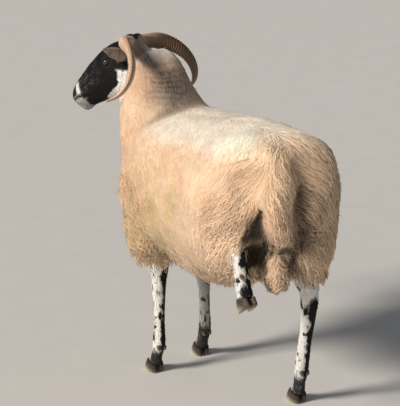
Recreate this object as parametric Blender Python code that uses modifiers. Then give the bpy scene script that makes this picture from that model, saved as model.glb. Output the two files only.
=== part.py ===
"""Scottish Blackface ram, life size, standing on three feet with the left hind foot raised.

The body is modelled whole, out to the tips of its coat, and then parted by thin cuts into head, neck,
trunk, tail, scrotum and legs. Eyes, ears, horns, hooves and dewclaws are solids of their own.
Metres. The sheep faces +X, its left side is +Y, and the soles of the standing feet are at z = 0.
"""

import math

import bmesh
import bpy
import numpy as np
from mathutils import Matrix, Vector

# ---------------------------------------------------------------- general sizes
GAP = 0.0003
VOXEL = 0.006
SMOOTH_STEPS = 9
SMOOTH_FACTOR = 0.5
# The wool is smoothed further, behind this x and above this z.
WOOL_SMOOTH_STEPS = 45
WOOL_FRONT = 0.370
WOOL_FLOOR = 0.400
WOOL_FADE = 0.060
OVERLAP = 0.016
RINGS_PER_STATION = 4

# ---------------------------------------------------------------- trunk
# The back bends: both ends swing to the left of the middle.
SPINE_SHIFT = -0.024
SPINE_BEND = 0.60
TRUNK_POWER = 2.35
# name, x, top, bottom, half width
TRUNK = (
    ("rump end", -0.320, 0.695, 0.590, 0.050),
    ("rump", -0.300, 0.738, 0.530, 0.108),
    ("pins", -0.260, 0.771, 0.490, 0.150),
    ("hips", -0.195, 0.792, 0.460, 0.182),
    ("loin", -0.105, 0.793, 0.380, 0.208),
    ("belly", 0.000, 0.785, 0.338, 0.226),
    ("girth", 0.100, 0.776, 0.362, 0.228),
    ("shoulders", 0.200, 0.778, 0.375, 0.222),
    ("shoulder points", 0.285, 0.768, 0.385, 0.200),
    ("breast", 0.345, 0.735, 0.430, 0.158),
    ("breast end", 0.385, 0.670, 0.500, 0.085),
)

# ---------------------------------------------------------------- neck
NECK_POWER = 2.1
# name, x, y, z, half width, forward half depth, backward half depth
NECK = (
    ("root", 0.252, 0.015, 0.600, 0.170, 0.150, 0.118),
    ("base", 0.318, 0.022, 0.700, 0.150, 0.130, 0.102),
    ("middle", 0.352, 0.030, 0.790, 0.116, 0.105, 0.104),
    ("nape", 0.362, 0.038, 0.865, 0.092, 0.080, 0.095),
    ("crest", 0.380, 0.050, 0.912, 0.060, 0.045, 0.066),
)

# ---------------------------------------------------------------- head
POLL = Vector((0.4187, 0.0667, 0.9238))
HEAD_TURN = 31.7
HEAD_ROLL = 4.0
HEAD_PITCH = 36.0
HEAD_POWER = 2.2
# name, along the skull, top, bottom, half width
SKULL = (
    ("occiput", -0.035, 0.006, -0.050, 0.036),
    ("poll", 0.000, 0.029, -0.086, 0.051),
    ("temples", 0.037, 0.045, -0.102, 0.057),
    ("eyes", 0.080, 0.050, -0.102, 0.055),
    ("cheeks", 0.120, 0.044, -0.092, 0.047),
    ("nose bridge", 0.162, 0.036, -0.078, 0.038),
    ("muzzle", 0.203, 0.0235, -0.070, 0.036),
    ("nostrils", 0.233, 0.0070, -0.066, 0.033),
    ("lips", 0.249, -0.0125, -0.0555, 0.021),
)
BROW_ALONG = 0.070
BROW_OUT = 0.043
BROW_UP = 0.016
BROW_SIZE = (0.022, 0.013, 0.017)
CHIN_ALONG = 0.224
CHIN_DOWN = 0.059
CHIN_SIZE = (0.021, 0.020, 0.012)
JOWL_ALONG = 0.070
JOWL_OUT = 0.026
JOWL_DOWN = 0.058
JOWL_SIZE = (0.048, 0.026, 0.042)

EYE_RADIUS = 0.0125
EYE_ALONG = 0.0745
EYE_OUT = 0.0455
EYE_UP = 0.0025

# name, along, half width, half thickness
EAR = (
    ("root", -0.024, 0.011, 0.009),
    ("base", 0.000, 0.015, 0.011),
    ("funnel", 0.022, 0.0190, 0.009),
    ("middle", 0.050, 0.0190, 0.007),
    ("upper", 0.078, 0.0130, 0.005),
    ("tip", 0.102, 0.0045, 0.003),
)
EAR_POWER = 2.0
EAR_CUP = 0.35
EAR_SIDES = 12
EAR_ALONG = 0.008
EAR_OUT = 0.047
EAR_DOWN = 0.032
EAR_FORWARD = 0.34
EAR_RISE = 0.34

# Each horn is one turn of a widening and then tightening coil beside the head.
HORN_SIDES = 12
HORN_RINGS = 17
HORN_ROOT_OUT = 0.0306
HORN_BACK = -0.0242
HORN_DOWN = -0.0832
HORN_START = 76.3
HORN_END = 236.7
HORN_COIL_START = 0.1045
HORN_COIL_END = 0.0528
HORN_SPREAD = 0.2121
HORN_SPREAD_POWER = 0.4665
HORN_ACROSS = (0.0185, 0.0158, 0.0130, 0.0109, 0.0095, 0.0086, 0.0074, 0.0050)
HORN_DEEP = (0.0180, 0.0196, 0.0203, 0.0188, 0.0162, 0.0132, 0.0090, 0.0050)
HORN_SOCKET = 0.018
HORN_EASE = 1.7
SOCKET_END = 0.0010

# ---------------------------------------------------------------- legs
LEG_POWER = 2.0
LEG_SIDES = 20
LEG_RUN_ON = 0.050
# name, x, y, z, half width, forward half depth, backward half depth
FORE_LEFT = (
    ("shoulder", 0.215, 0.090, 0.520, 0.090, 0.110, 0.110),
    ("elbow", 0.225, 0.102, 0.440, 0.100, 0.102, 0.092),
    ("forearm", 0.238, 0.100, 0.385, 0.080, 0.080, 0.066),
    ("wool edge", 0.246, 0.091, 0.328, 0.036, 0.036, 0.034),
    ("above knee", 0.249, 0.088, 0.284, 0.0238, 0.0245, 0.0235),
    ("knee", 0.251, 0.088, 0.242, 0.0218, 0.0245, 0.0212),
    ("below knee", 0.249, 0.088, 0.205, 0.0182, 0.0190, 0.0186),
    ("cannon", 0.248, 0.089, 0.150, 0.0178, 0.0184, 0.0188),
    ("fetlock", 0.249, 0.090, 0.088, 0.0208, 0.0200, 0.0230),
    ("pastern", 0.259, 0.091, 0.055, 0.0185, 0.0175, 0.0185),
    ("coronet", 0.268, 0.092, 0.026, 0.0215, 0.0220, 0.0220),
)
FORE_RIGHT_TOP = (0.010, -0.150, 0.0)
FORE_RIGHT_FOOT = (0.026, -0.174, 0.0)
# The standing feet lie this far back and left of their tables' places, so that the weight is over them.
WIDE_STEP = (-0.0271, 0.0170, 0.0047)
SHORT_STEP = (-0.0153, 0.0095, 0.0047)

HIND_RIGHT = (
    ("hip", -0.205, -0.060, 0.620, 0.105, 0.130, 0.105),
    ("thigh", -0.205, -0.078, 0.520, 0.098, 0.125, 0.098),
    ("stifle", -0.198, -0.092, 0.445, 0.084, 0.100, 0.088),
    ("gaskin", -0.196, -0.100, 0.395, 0.060, 0.064, 0.070),
    ("above hock", -0.203, -0.104, 0.352, 0.030, 0.032, 0.034),
    ("hock", -0.206, -0.105, 0.305, 0.0240, 0.0265, 0.0275),
    ("below hock", -0.200, -0.107, 0.268, 0.0212, 0.0225, 0.0225),
    ("shank", -0.180, -0.113, 0.195, 0.0192, 0.0200, 0.0200),
    ("fetlock", -0.152, -0.123, 0.105, 0.0212, 0.0208, 0.0230),
    ("pastern", -0.138, -0.128, 0.062, 0.0185, 0.0175, 0.0185),
    ("coronet", -0.126, -0.132, 0.026, 0.0215, 0.0220, 0.0220),
)

HIND_LEFT = (
    ("hip", -0.200, 0.085, 0.650, 0.095, 0.110, 0.095),
    ("thigh", -0.165, 0.110, 0.605, 0.095, 0.110, 0.095),
    ("stifle", -0.110, 0.120, 0.560, 0.085, 0.100, 0.085),
)
SHANK_LEFT = (
    ("gaskin", -0.150, 0.125, 0.600, 0.040, 0.045, 0.045),
    ("hock", -0.200, 0.124, 0.555, 0.027, 0.029, 0.031),
    ("below hock", -0.212, 0.124, 0.515, 0.0225, 0.0230, 0.0230),
    ("shank", -0.217, 0.124, 0.475, 0.0205, 0.0205, 0.0205),
    ("fetlock", -0.226, 0.124, 0.425, 0.0235, 0.0230, 0.0240),
    ("pastern", -0.236, 0.124, 0.398, 0.0225, 0.0215, 0.0220),
    ("coronet", -0.246, 0.124, 0.374, 0.0235, 0.0230, 0.0230),
)

# ---------------------------------------------------------------- tail and scrotum
TAIL = (
    ("dock", -0.255, 0.048, 0.760, 0.045, 0.035, 0.030),
    ("upper tail", -0.304, 0.070, 0.705, 0.048, 0.055, 0.036),
    ("middle tail", -0.328, 0.086, 0.620, 0.050, 0.065, 0.036),
    ("lower tail", -0.330, 0.091, 0.550, 0.048, 0.060, 0.034),
    ("tail tip", -0.318, 0.090, 0.505, 0.036, 0.050, 0.026),
)
SCROTUM = (
    ("neck", -0.235, 0.025, 0.520, 0.045, 0.045, 0.045),
    ("upper", -0.240, 0.025, 0.450, 0.044, 0.046, 0.046),
    ("middle", -0.242, 0.025, 0.400, 0.042, 0.044, 0.044),
    ("bottom", -0.242, 0.025, 0.362, 0.026, 0.028, 0.028),
)

# ---------------------------------------------------------------- hooves
TOE_OUT = 0.0125
TOE_SPLAY = 5.0
TOE_HEIGHT = 0.036
HEEL_HEIGHT = 0.020
CORONET_HEIGHT = 0.026
CLAW_RADIUS = 0.0062
CLAW_LENGTH = 0.010
CLAW_OUT = 0.0095
CLAW_BACK = 0.0165
CLAW_DROP = 0.008
RAISED_TOE_PITCH = 42.0

# ---------------------------------------------------------------- where the body is parted
HEAD_CUT_BACK = -0.036
JAW_CUT_DOWN = 0.116
NECK_CUT = Vector((0.300, 0.0, 0.715))
NECK_CUT_NORMAL = Vector((0.70, 0.0, 0.71))
FORE_TOP = 0.405
FORE_MIDDLE = 0.328
HIND_TOP = 0.460
HIND_MIDDLE = 0.362
RAISED_TOP = 0.665
RAISED_MIDDLE = 0.505
REACH = 0.6


# ================================================================ helpers
def clear_scene():
    for obj in list(bpy.data.objects):
        bpy.data.objects.remove(obj, do_unlink=True)


def new_collection(name):
    made = bpy.data.collections.new(name)
    bpy.context.scene.collection.children.link(made)
    return made


clear_scene()
BODY_COLLECTION = new_collection("sheep")
CUTTER_COLLECTION = new_collection("cutters")


def spine_y(x):
    return SPINE_SHIFT + SPINE_BEND * x * x


def smooth_rows(rows, per_span=RINGS_PER_STATION):
    """Rows of numbers, with a Catmull-Rom curve laid through each column."""
    table = np.array(rows, dtype=float)
    before = 2 * table[:1] - table[1:2]
    after = 2 * table[-1:] - table[-2:-1]
    padded = np.vstack([before, table, after])
    found = []
    for i in range(len(table) - 1):
        a, b, c, d = padded[i : i + 4]
        for step in range(per_span):
            t = step / per_span
            found.append(
                0.5
                * (
                    2 * b
                    + (c - a) * t
                    + (2 * a - 5 * b + 4 * c - d) * t * t
                    + (3 * b - a - 3 * c + d) * t * t * t
                )
            )
    found.append(table[-1])
    return np.array(found)


def signed_power(value, power):
    return math.copysign(abs(value) ** power, value)


def ring_points(centre, side, rise, half_width, up, down, power, sides):
    points = []
    for i in range(sides):
        angle = 2 * math.pi * (i + 0.5) / sides
        across = half_width * signed_power(math.cos(angle), 2 / power)
        along = signed_power(math.sin(angle), 2 / power)
        along *= up if along > 0 else down
        points.append(centre + side * across + rise * along)
    return points


def skin_rings(name, rings):
    """A closed mesh through rings of equal length, with a fan at each end."""
    made = bmesh.new()
    layers = [[made.verts.new(p) for p in ring] for ring in rings]
    for lower, upper in zip(layers, layers[1:]):
        for i in range(len(lower)):
            j = (i + 1) % len(lower)
            made.faces.new((lower[i], lower[j], upper[j]))
            made.faces.new((lower[i], upper[j], upper[i]))
    for layer, flip in ((layers[0], True), (layers[-1], False)):
        middle = sum((v.co for v in layer), Vector()) / len(layer)
        hub = made.verts.new(middle)
        for i in range(len(layer)):
            j = (i + 1) % len(layer)
            corners = (layer[j], layer[i], hub) if flip else (layer[i], layer[j], hub)
            made.faces.new(corners)
    made.normal_update()
    bmesh.ops.recalc_face_normals(made, faces=made.faces)
    mesh = bpy.data.meshes.new(name)
    made.to_mesh(mesh)
    made.free()
    return bpy.data.objects.new(name, mesh)


def loft(name, rows, side_axis, power, sides=28, grow=0.0, per_span=RINGS_PER_STATION, cup=0.0):
    """A loft through rows of x, y, z, half width, rise and drop.

    The width starts along side_axis and is carried along the path without twist. The rise is measured
    along tangent x side. A cup bends each ring by that share of its half width.
    """
    table = smooth_rows(rows, per_span)
    centres = [Vector(row[:3]) for row in table]
    side = side_axis
    rings = []
    for i, row in enumerate(table):
        ahead = centres[min(i + 1, len(centres) - 1)]
        behind = centres[max(i - 1, 0)]
        tangent = (ahead - behind).normalized()
        side = (side - tangent * side.dot(tangent)).normalized()
        rise = tangent.cross(side)
        half_width = row[3] + grow
        ring = ring_points(centres[i], side, rise, half_width, row[4] + grow, row[5] + grow, power, sides)
        if cup:
            shares = [(point - centres[i]).dot(side) / half_width for point in ring]
            ring = [point + rise * (cup * row[3] * share * share) for point, share in zip(ring, shares)]
        rings.append(ring)
    return skin_rings(name, rings)


def ellipsoid(name, centre, axes, size, segments=24, rings=14):
    """A sphere primitive scaled to three half sizes along three axes."""
    made = bmesh.new()
    bmesh.ops.create_uvsphere(made, u_segments=segments, v_segments=rings, radius=1.0)
    along, side, rise = axes
    turn = Matrix((along, side, rise)).transposed().to_4x4()
    scale = Matrix.Diagonal((size[0], size[1], size[2], 1.0))
    made.transform(Matrix.Translation(centre) @ turn @ scale)
    made.normal_update()
    bmesh.ops.recalc_face_normals(made, faces=made.faces)
    mesh = bpy.data.meshes.new(name)
    made.to_mesh(mesh)
    made.free()
    return bpy.data.objects.new(name, mesh)


def box(name, low, high, turn=None, origin=None):
    """A box between two corners, optionally turned about an origin."""
    made = bmesh.new()
    bmesh.ops.create_cube(made, size=1.0)
    low = Vector(low)
    high = Vector(high)
    size = high - low
    made.transform(Matrix.Translation((low + high) / 2) @ Matrix.Diagonal((*size, 1.0)))
    if turn is not None:
        made.transform(turn)
    if origin is not None:
        made.transform(Matrix.Translation(origin))
    made.normal_update()
    bmesh.ops.recalc_face_normals(made, faces=made.faces)
    mesh = bpy.data.meshes.new(name)
    made.to_mesh(mesh)
    made.free()
    return bpy.data.objects.new(name, mesh)


def half_space(name, point, normal, size=2.0):
    """A large box whose one face passes through point, with its solid on the side of normal."""
    turn = Vector((0, 0, 1)).rotation_difference(normal).to_matrix().to_4x4()
    return box(name, (-size, -size, 0), (size, size, size), turn, point)


def cutter(obj):
    CUTTER_COLLECTION.objects.link(obj)
    obj.hide_render = True
    obj.display_type = "WIRE"
    return obj


def settle(obj):
    """Bakes the object's modifiers into its mesh."""
    bpy.context.view_layer.update()
    graph = bpy.context.evaluated_depsgraph_get()
    mesh = bpy.data.meshes.new_from_object(obj.evaluated_get(graph))
    obj.modifiers.clear()
    obj.data = mesh
    return obj


def joined(name, objects):
    """One mesh that holds the given objects' meshes."""
    made = bmesh.new()
    for obj in objects:
        made.from_mesh(obj.data)
    mesh = bpy.data.meshes.new(name)
    made.to_mesh(mesh)
    made.free()
    for obj in objects:
        bpy.data.objects.remove(obj, do_unlink=True)
    return bpy.data.objects.new(name, mesh)


def modifier(obj, kind, **values):
    added = obj.modifiers.new(kind.title(), kind)
    for key, value in values.items():
        setattr(added, key, value)
    added.show_render = added.show_viewport
    return added


def boolean(obj, operation, other):
    modifier(obj, "BOOLEAN", operation=operation, object=other, solver="EXACT")
    return obj


def largest_piece(obj):
    """Keeps the largest loose piece, because a cut can leave crumbs."""
    made = bmesh.new()
    made.from_mesh(obj.data)
    made.verts.ensure_lookup_table()
    seen = set()
    groups = []
    for start in made.verts:
        if start.index in seen:
            continue
        stack = [start]
        seen.add(start.index)
        group = []
        while stack:
            vert = stack.pop()
            group.append(vert)
            for edge in vert.link_edges:
                other = edge.other_vert(vert)
                if other.index not in seen:
                    seen.add(other.index)
                    stack.append(other)
        groups.append(group)
    groups.sort(key=len, reverse=True)
    crumbs = [vert for group in groups[1:] for vert in group]
    bmesh.ops.delete(made, geom=crumbs, context="VERTS")
    made.to_mesh(obj.data)
    made.free()
    return obj


def copy_of(obj, name):
    made = bpy.data.objects.new(name, obj.data.copy())
    BODY_COLLECTION.objects.link(made)
    return made


def material(name, colour, roughness):
    made = bpy.data.materials.new(name)
    made.use_nodes = True
    shader = made.node_tree.nodes["Principled BSDF"]
    shader.inputs["Base Color"].default_value = (*colour, 1.0)
    shader.inputs["Roughness"].default_value = roughness
    return made


def finish(obj, colour, roughness):
    obj.data.materials.clear()
    obj.data.materials.append(material(obj.name, colour, roughness))


# ================================================================ frames
TURN = math.radians(HEAD_TURN)
ROLL = math.radians(HEAD_ROLL)
PITCH = math.radians(HEAD_PITCH)
HEADING = Vector((math.cos(TURN), math.sin(TURN), 0.0))
LEVEL_LEFT = Vector((-math.sin(TURN), math.cos(TURN), 0.0))
HEAD_LEFT = (LEVEL_LEFT * math.cos(ROLL) + Vector((0, 0, math.sin(ROLL)))).normalized()
HEAD_OVER = HEADING.cross(HEAD_LEFT)
SKULL_AXIS = (HEADING * math.cos(PITCH) - HEAD_OVER * math.sin(PITCH)).normalized()
SKULL_UP = SKULL_AXIS.cross(HEAD_LEFT)
LEFT = Vector((0, 1, 0))


def on_skull(along, out, up):
    return POLL + SKULL_AXIS * along + HEAD_LEFT * out + SKULL_UP * up


# ================================================================ the whole body
def trunk_rows():
    rows = []
    for _, x, top, bottom, half_width in TRUNK:
        middle = (top + bottom) / 2
        rows.append((x, spine_y(x), middle, half_width, top - middle, middle - bottom))
    return rows


def skull_rows():
    rows = []
    for _, along, top, bottom, half_width in SKULL:
        middle = (top + bottom) / 2
        centre = on_skull(along, 0.0, middle)
        rows.append((*centre, half_width, top - middle, middle - bottom))
    return rows


def shifted(rows, top_shift, foot_shift):
    """The same limb moved aside, its top by one shift and its foot by another."""
    top = rows[0][3]
    foot = rows[-1][3]
    moved = []
    for name, x, y, z, *sizes in rows:
        share = (top - z) / (top - foot)
        shift = [a + (b - a) * share for a, b in zip(top_shift, foot_shift)]
        moved.append((name, x + shift[0], y + shift[1], z + shift[2], *sizes))
    return tuple(moved)


NO_STEP = (0.0, 0.0, 0.0)
FORE_RIGHT = shifted(shifted(FORE_LEFT, FORE_RIGHT_TOP, FORE_RIGHT_FOOT), NO_STEP, SHORT_STEP)
FORE_LEFT = shifted(FORE_LEFT, NO_STEP, WIDE_STEP)
HIND_RIGHT = shifted(HIND_RIGHT, NO_STEP, WIDE_STEP)


def limb(name, rows, power=LEG_POWER, sides=LEG_SIDES):
    return loft(name, [row[1:] for row in rows], LEFT, power, sides)


def leg(name, rows):
    """A leg run on past its coronet, where the hoof's cut later ends it."""
    end = Vector(rows[-1][1:4])
    before = Vector(rows[-2][1:4])
    beyond = end + (end - before).normalized() * LEG_RUN_ON
    return limb(name, rows + (("beyond", *beyond, *rows[-1][4:]),))


def head_lumps():
    axes = (SKULL_AXIS, HEAD_LEFT, SKULL_UP)
    lumps = [ellipsoid("chin", on_skull(CHIN_ALONG, 0.0, -CHIN_DOWN), axes, CHIN_SIZE)]
    for side in (1, -1):
        lumps.append(ellipsoid("brow", on_skull(BROW_ALONG, side * BROW_OUT, BROW_UP), axes, BROW_SIZE))
        lumps.append(ellipsoid("jowl", on_skull(JOWL_ALONG, side * JOWL_OUT, -JOWL_DOWN), axes, JOWL_SIZE))
    return lumps


def whole_body():
    shapes = [
        loft("trunk_form", trunk_rows(), LEFT, TRUNK_POWER, 48),
        loft("neck_form", [row[1:] for row in NECK], LEFT, NECK_POWER, 36),
        loft("skull_form", skull_rows(), HEAD_LEFT, HEAD_POWER, 32),
        leg("fore_left_form", FORE_LEFT),
        leg("fore_right_form", FORE_RIGHT),
        leg("hind_right_form", HIND_RIGHT),
        limb("hind_left_form", HIND_LEFT),
        leg("shank_left_form", SHANK_LEFT),
        limb("tail_form", TAIL),
        limb("scrotum_form", SCROTUM),
    ]
    body = joined("whole_body", shapes + head_lumps())
    cutter(body)
    modifier(body, "REMESH", mode="VOXEL", voxel_size=VOXEL)
    modifier(body, "SMOOTH", factor=SMOOTH_FACTOR, iterations=SMOOTH_STEPS)
    largest_piece(settle(body))
    wool = body.vertex_groups.new(name="wool")
    for vert in body.data.vertices:
        ahead = (WOOL_FRONT - vert.co.x) / WOOL_FADE
        above = (vert.co.z - WOOL_FLOOR) / WOOL_FADE
        wool.add([vert.index], max(0.0, min(1.0, ahead, above)), "REPLACE")
    modifier(body, "SMOOTH", factor=SMOOTH_FACTOR, iterations=WOOL_SMOOTH_STEPS, vertex_group="wool")
    return settle(body)


WHOLE = whole_body()


# ================================================================ parting the body
def space_cutter(name, point, normal, grow):
    return cutter(half_space(name, point - normal.normalized() * grow, normal))


def box_cutter(name, low, high, grow):
    spread = Vector((grow, grow, grow))
    return cutter(box(name, Vector(low) - spread, Vector(high) + spread))


HEAD_CUT = POLL + HEADING * HEAD_CUT_BACK
JAW_CUT = on_skull(0.0, 0.0, -JAW_CUT_DOWN)

# Each region is a half space (point, normal), a box (low, high), or for the head two half spaces.
REGIONS = {
    "front": (NECK_CUT, NECK_CUT_NORMAL),
    "tail": ((-REACH, 0.028, 0.490), (-0.312, 0.150, 0.738)),
    "scrotum": ((-0.315, -0.022, 0.300), (-0.170, 0.074, 0.468)),
    "fore_left_upper": ((0.120, 0.022, FORE_MIDDLE), (0.400, 0.300, FORE_TOP)),
    "fore_left_lower": ((0.120, 0.022, -0.100), (0.400, 0.300, FORE_MIDDLE)),
    "fore_right_upper": ((0.120, -0.300, FORE_MIDDLE), (0.400, -0.012, FORE_TOP)),
    "fore_right_lower": ((0.120, -0.300, -0.100), (0.400, -0.012, FORE_MIDDLE)),
    "hind_right_upper": ((-0.400, -0.300, HIND_MIDDLE), (-0.060, -0.023, HIND_TOP)),
    "hind_right_lower": ((-0.400, -0.300, -0.100), (-0.060, -0.023, HIND_MIDDLE)),
    "hind_left_upper": ((-0.288, 0.045, RAISED_MIDDLE), (-0.060, 0.350, RAISED_TOP)),
    "hind_left_lower": ((-0.300, 0.075, 0.300), (-0.165, 0.350, RAISED_MIDDLE)),
}


def region_cutter(name, grow):
    label = name + "_region"
    if name == "head":
        behind = space_cutter(label, HEAD_CUT, HEADING, grow)
        boolean(behind, "INTERSECT", space_cutter("jaw_region", JAW_CUT, SKULL_UP, grow))
        return settle(behind)
    first, second = REGIONS[name]
    if name == "front":
        return space_cutter(label, first, second, grow)
    return box_cutter(label, first, second, grow)


def decimated(obj, target):
    count = sum(len(polygon.vertices) - 2 for polygon in obj.data.polygons)
    if count > target:
        modifier(obj, "DECIMATE", ratio=target / count)
        settle(obj)
    return obj


def parted(name, keep, remove, target):
    """The part of the whole body inside the keep regions and outside the remove regions."""
    obj = copy_of(WHOLE, name)
    for region in keep:
        boolean(obj, "INTERSECT", region_cutter(region, OVERLAP))
    for region in remove:
        boolean(obj, "DIFFERENCE", region_cutter(region, -OVERLAP))
    decimated(settle(obj), target)
    for region in keep:
        boolean(obj, "INTERSECT", region_cutter(region, -GAP / 2))
    for region in remove:
        boolean(obj, "DIFFERENCE", region_cutter(region, GAP / 2))
    return largest_piece(settle(obj))


FLEECE = (0.83, 0.74, 0.60)
FACE = (0.03, 0.03, 0.03)
SHORT_HAIR = (0.80, 0.77, 0.70)
HORN = (0.45, 0.32, 0.20)
HOOF = (0.16, 0.12, 0.08)

LOWER_PARTS = ("fore_left", "fore_right", "hind_right", "hind_left")
LIMB_REGIONS = tuple(f"{limb_name}_{half}" for limb_name in LOWER_PARTS for half in ("upper", "lower"))

head = parted("head", ("head",), (), 1200)
neck = parted("neck", ("front",), ("head",), 440)
trunk = parted("trunk", (), ("front", "tail", "scrotum") + LIMB_REGIONS, 1400)
tail = parted("tail", ("tail",), (), 240)
scrotum = parted("scrotum", ("scrotum",), (), 160)
finish(head, FACE, 0.8)
finish(neck, FLEECE, 0.9)
finish(trunk, FLEECE, 0.9)
finish(tail, FLEECE, 0.9)
finish(scrotum, FLEECE, 0.9)
legs = {}
for limb_name in LOWER_PARTS:
    upper = parted(f"leg_{limb_name}_upper", (f"{limb_name}_upper",), (), 140)
    lower = parted(f"leg_{limb_name}_lower", (f"{limb_name}_lower",), (), 240)
    finish(upper, FLEECE, 0.9)
    finish(lower, SHORT_HAIR, 0.8)
    legs[limb_name] = lower


# ================================================================ hooves and dewclaws
def toe_ring(origin, frame, middle, half_length, half_width, heights, sides=10):
    """One ring of a hoof, its height running from the heel's to the toe's."""
    forward, side, up = frame
    heel, toe = heights
    ring = []
    for i in range(sides):
        angle = 2 * math.pi * i / sides
        share = math.cos(angle)
        height = heel + (toe - heel) * (share + 1) / 2
        along = middle + half_length * share
        ring.append(origin + forward * along + side * (half_width * math.sin(angle)) + up * height)
    return ring


def toe(name, origin, frame, splay):
    """One half of a cloven hoof. The origin lies on the sole, below the coronet, which isn't splayed."""
    forward, side, up = frame
    splayed = (
        forward * math.cos(splay) + side * math.sin(splay),
        side * math.cos(splay) - forward * math.sin(splay),
        up,
    )
    coronet = (HEEL_HEIGHT - GAP, TOE_HEIGHT - GAP)
    wall = (HEEL_HEIGHT * 0.6, TOE_HEIGHT * 0.62)
    rings = [
        toe_ring(origin, frame, 0.000, 0.0200, 0.0102, coronet),
        toe_ring(origin, splayed, 0.003, 0.0235, 0.0112, wall),
        toe_ring(origin, splayed, 0.0065, 0.0275, 0.0112, (0.0020, 0.0020)),
        toe_ring(origin, splayed, 0.0065, 0.0262, 0.0100, (0.0, 0.0)),
    ]
    return skin_rings(name, rings)


def foot_frame(forward, up):
    side = up.cross(forward).normalized()
    return forward.normalized(), side, up.normalized()


def add_foot(limb_name, rows, frame, coronet_height):
    """Two toes below the coronet and two dewclaws behind the fetlock, each in a socket or at a cut."""
    forward, side, up = frame
    lower = legs[limb_name]
    coronet = Vector(rows[-1][1:4])
    sole = coronet - up * coronet_height
    slope = math.atan2(TOE_HEIGHT - HEEL_HEIGHT, 0.040)
    plane_normal = forward * math.sin(slope) - up * math.cos(slope)
    plane_point = sole + up * ((TOE_HEIGHT + HEEL_HEIGHT) / 2)
    below = cutter(half_space(f"{limb_name}_coronet", plane_point, plane_normal))
    boolean(lower, "DIFFERENCE", below)
    for turn, label in ((1, "left"), (-1, "right")):
        splay = math.radians(TOE_SPLAY) * turn
        made = toe(f"hoof_{limb_name}_{label}", sole + side * (TOE_OUT * turn), frame, splay)
        BODY_COLLECTION.objects.link(made)
        finish(made, HOOF, 0.5)
    fetlock = Vector(next(row for row in rows if row[0] == "fetlock")[1:4])
    for turn, label in ((1, "left"), (-1, "right")):
        spot = fetlock - forward * CLAW_BACK + side * (CLAW_OUT * turn) - up * CLAW_DROP
        size = (CLAW_RADIUS, CLAW_RADIUS, CLAW_LENGTH)
        claw = ellipsoid(f"dewclaw_{limb_name}_{label}", spot, frame, size, 6, 4)
        BODY_COLLECTION.objects.link(claw)
        finish(claw, HOOF, 0.5)
        grown = tuple(value + GAP for value in size)
        socket = cutter(ellipsoid(f"{limb_name}_{label}_claw_socket", spot, frame, grown, 6, 4))
        boolean(lower, "DIFFERENCE", socket)
    largest_piece(settle(lower))


UP = Vector((0, 0, 1))
LEVEL_FRAME = foot_frame(Vector((1, 0, 0)), UP)
TURNED_FRAME = foot_frame(Vector((math.cos(0.12), -math.sin(0.12), 0)), UP)
for limb_name, rows, frame in (
    ("fore_left", FORE_LEFT, LEVEL_FRAME),
    ("fore_right", FORE_RIGHT, TURNED_FRAME),
    ("hind_right", HIND_RIGHT, LEVEL_FRAME),
):
    add_foot(limb_name, rows, frame, CORONET_HEIGHT)
RAISED_PITCH = math.radians(RAISED_TOE_PITCH)
RAISED_FORWARD = Vector((math.cos(RAISED_PITCH), 0, -math.sin(RAISED_PITCH)))
RAISED_UP = Vector((math.sin(RAISED_PITCH), 0, math.cos(RAISED_PITCH)))
add_foot("hind_left", SHANK_LEFT, foot_frame(RAISED_FORWARD, RAISED_UP), CORONET_HEIGHT)


# ================================================================ eyes, ears and horns
def add_eye(side, label):
    centre = on_skull(EYE_ALONG, side * EYE_OUT, EYE_UP)
    axes = (SKULL_AXIS, HEAD_LEFT, SKULL_UP)
    eye = ellipsoid(f"eye_{label}", centre, axes, (EYE_RADIUS,) * 3, 12, 8)
    BODY_COLLECTION.objects.link(eye)
    finish(eye, (0.5, 0.35, 0.12), 0.1)
    socket = cutter(ellipsoid(f"eye_socket_{label}", centre, axes, (EYE_RADIUS + GAP,) * 3, 12, 8))
    boolean(head, "DIFFERENCE", socket)
    opening_centre = centre + HEAD_LEFT * (side * EYE_RADIUS * 1.6)
    opening_size = (EYE_RADIUS * 0.86, EYE_RADIUS * 1.5, EYE_RADIUS * 0.66)
    opening = cutter(ellipsoid(f"eye_opening_{label}", opening_centre, axes, opening_size, 10, 6))
    boolean(head, "DIFFERENCE", opening)
    largest_piece(settle(head))


def ear_rows(side):
    base = on_skull(EAR_ALONG, side * EAR_OUT, -EAR_DOWN)
    aim = (HEAD_LEFT * side + HEADING * EAR_FORWARD + HEAD_OVER * EAR_RISE).normalized()
    rows = []
    for _, along, half_width, half_thickness in EAR:
        rows.append((*(base + aim * along), half_width, half_thickness, half_thickness))
    return rows


def deeper(rows):
    """The same rows with the first one moved back, so that a socket ends beyond the root it holds."""
    first = Vector(rows[0][:3])
    back = (first - Vector(rows[1][:3])).normalized()
    return [(*(first + back * SOCKET_END), *rows[0][3:])] + rows[1:]


def add_ear(side, label):
    width_axis = (HEAD_OVER - HEADING * 0.55) * side
    rows = ear_rows(side)
    ear = loft(f"ear_{label}", rows, width_axis, EAR_POWER, EAR_SIDES, 0.0, 1, EAR_CUP)
    BODY_COLLECTION.objects.link(ear)
    finish(ear, (0.25, 0.20, 0.17), 0.8)
    hole = loft(f"ear_socket_{label}", deeper(rows), width_axis, EAR_POWER, EAR_SIDES, GAP * 1.3, 1, EAR_CUP)
    boolean(head, "DIFFERENCE", cutter(hole))
    largest_piece(settle(head))


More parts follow.
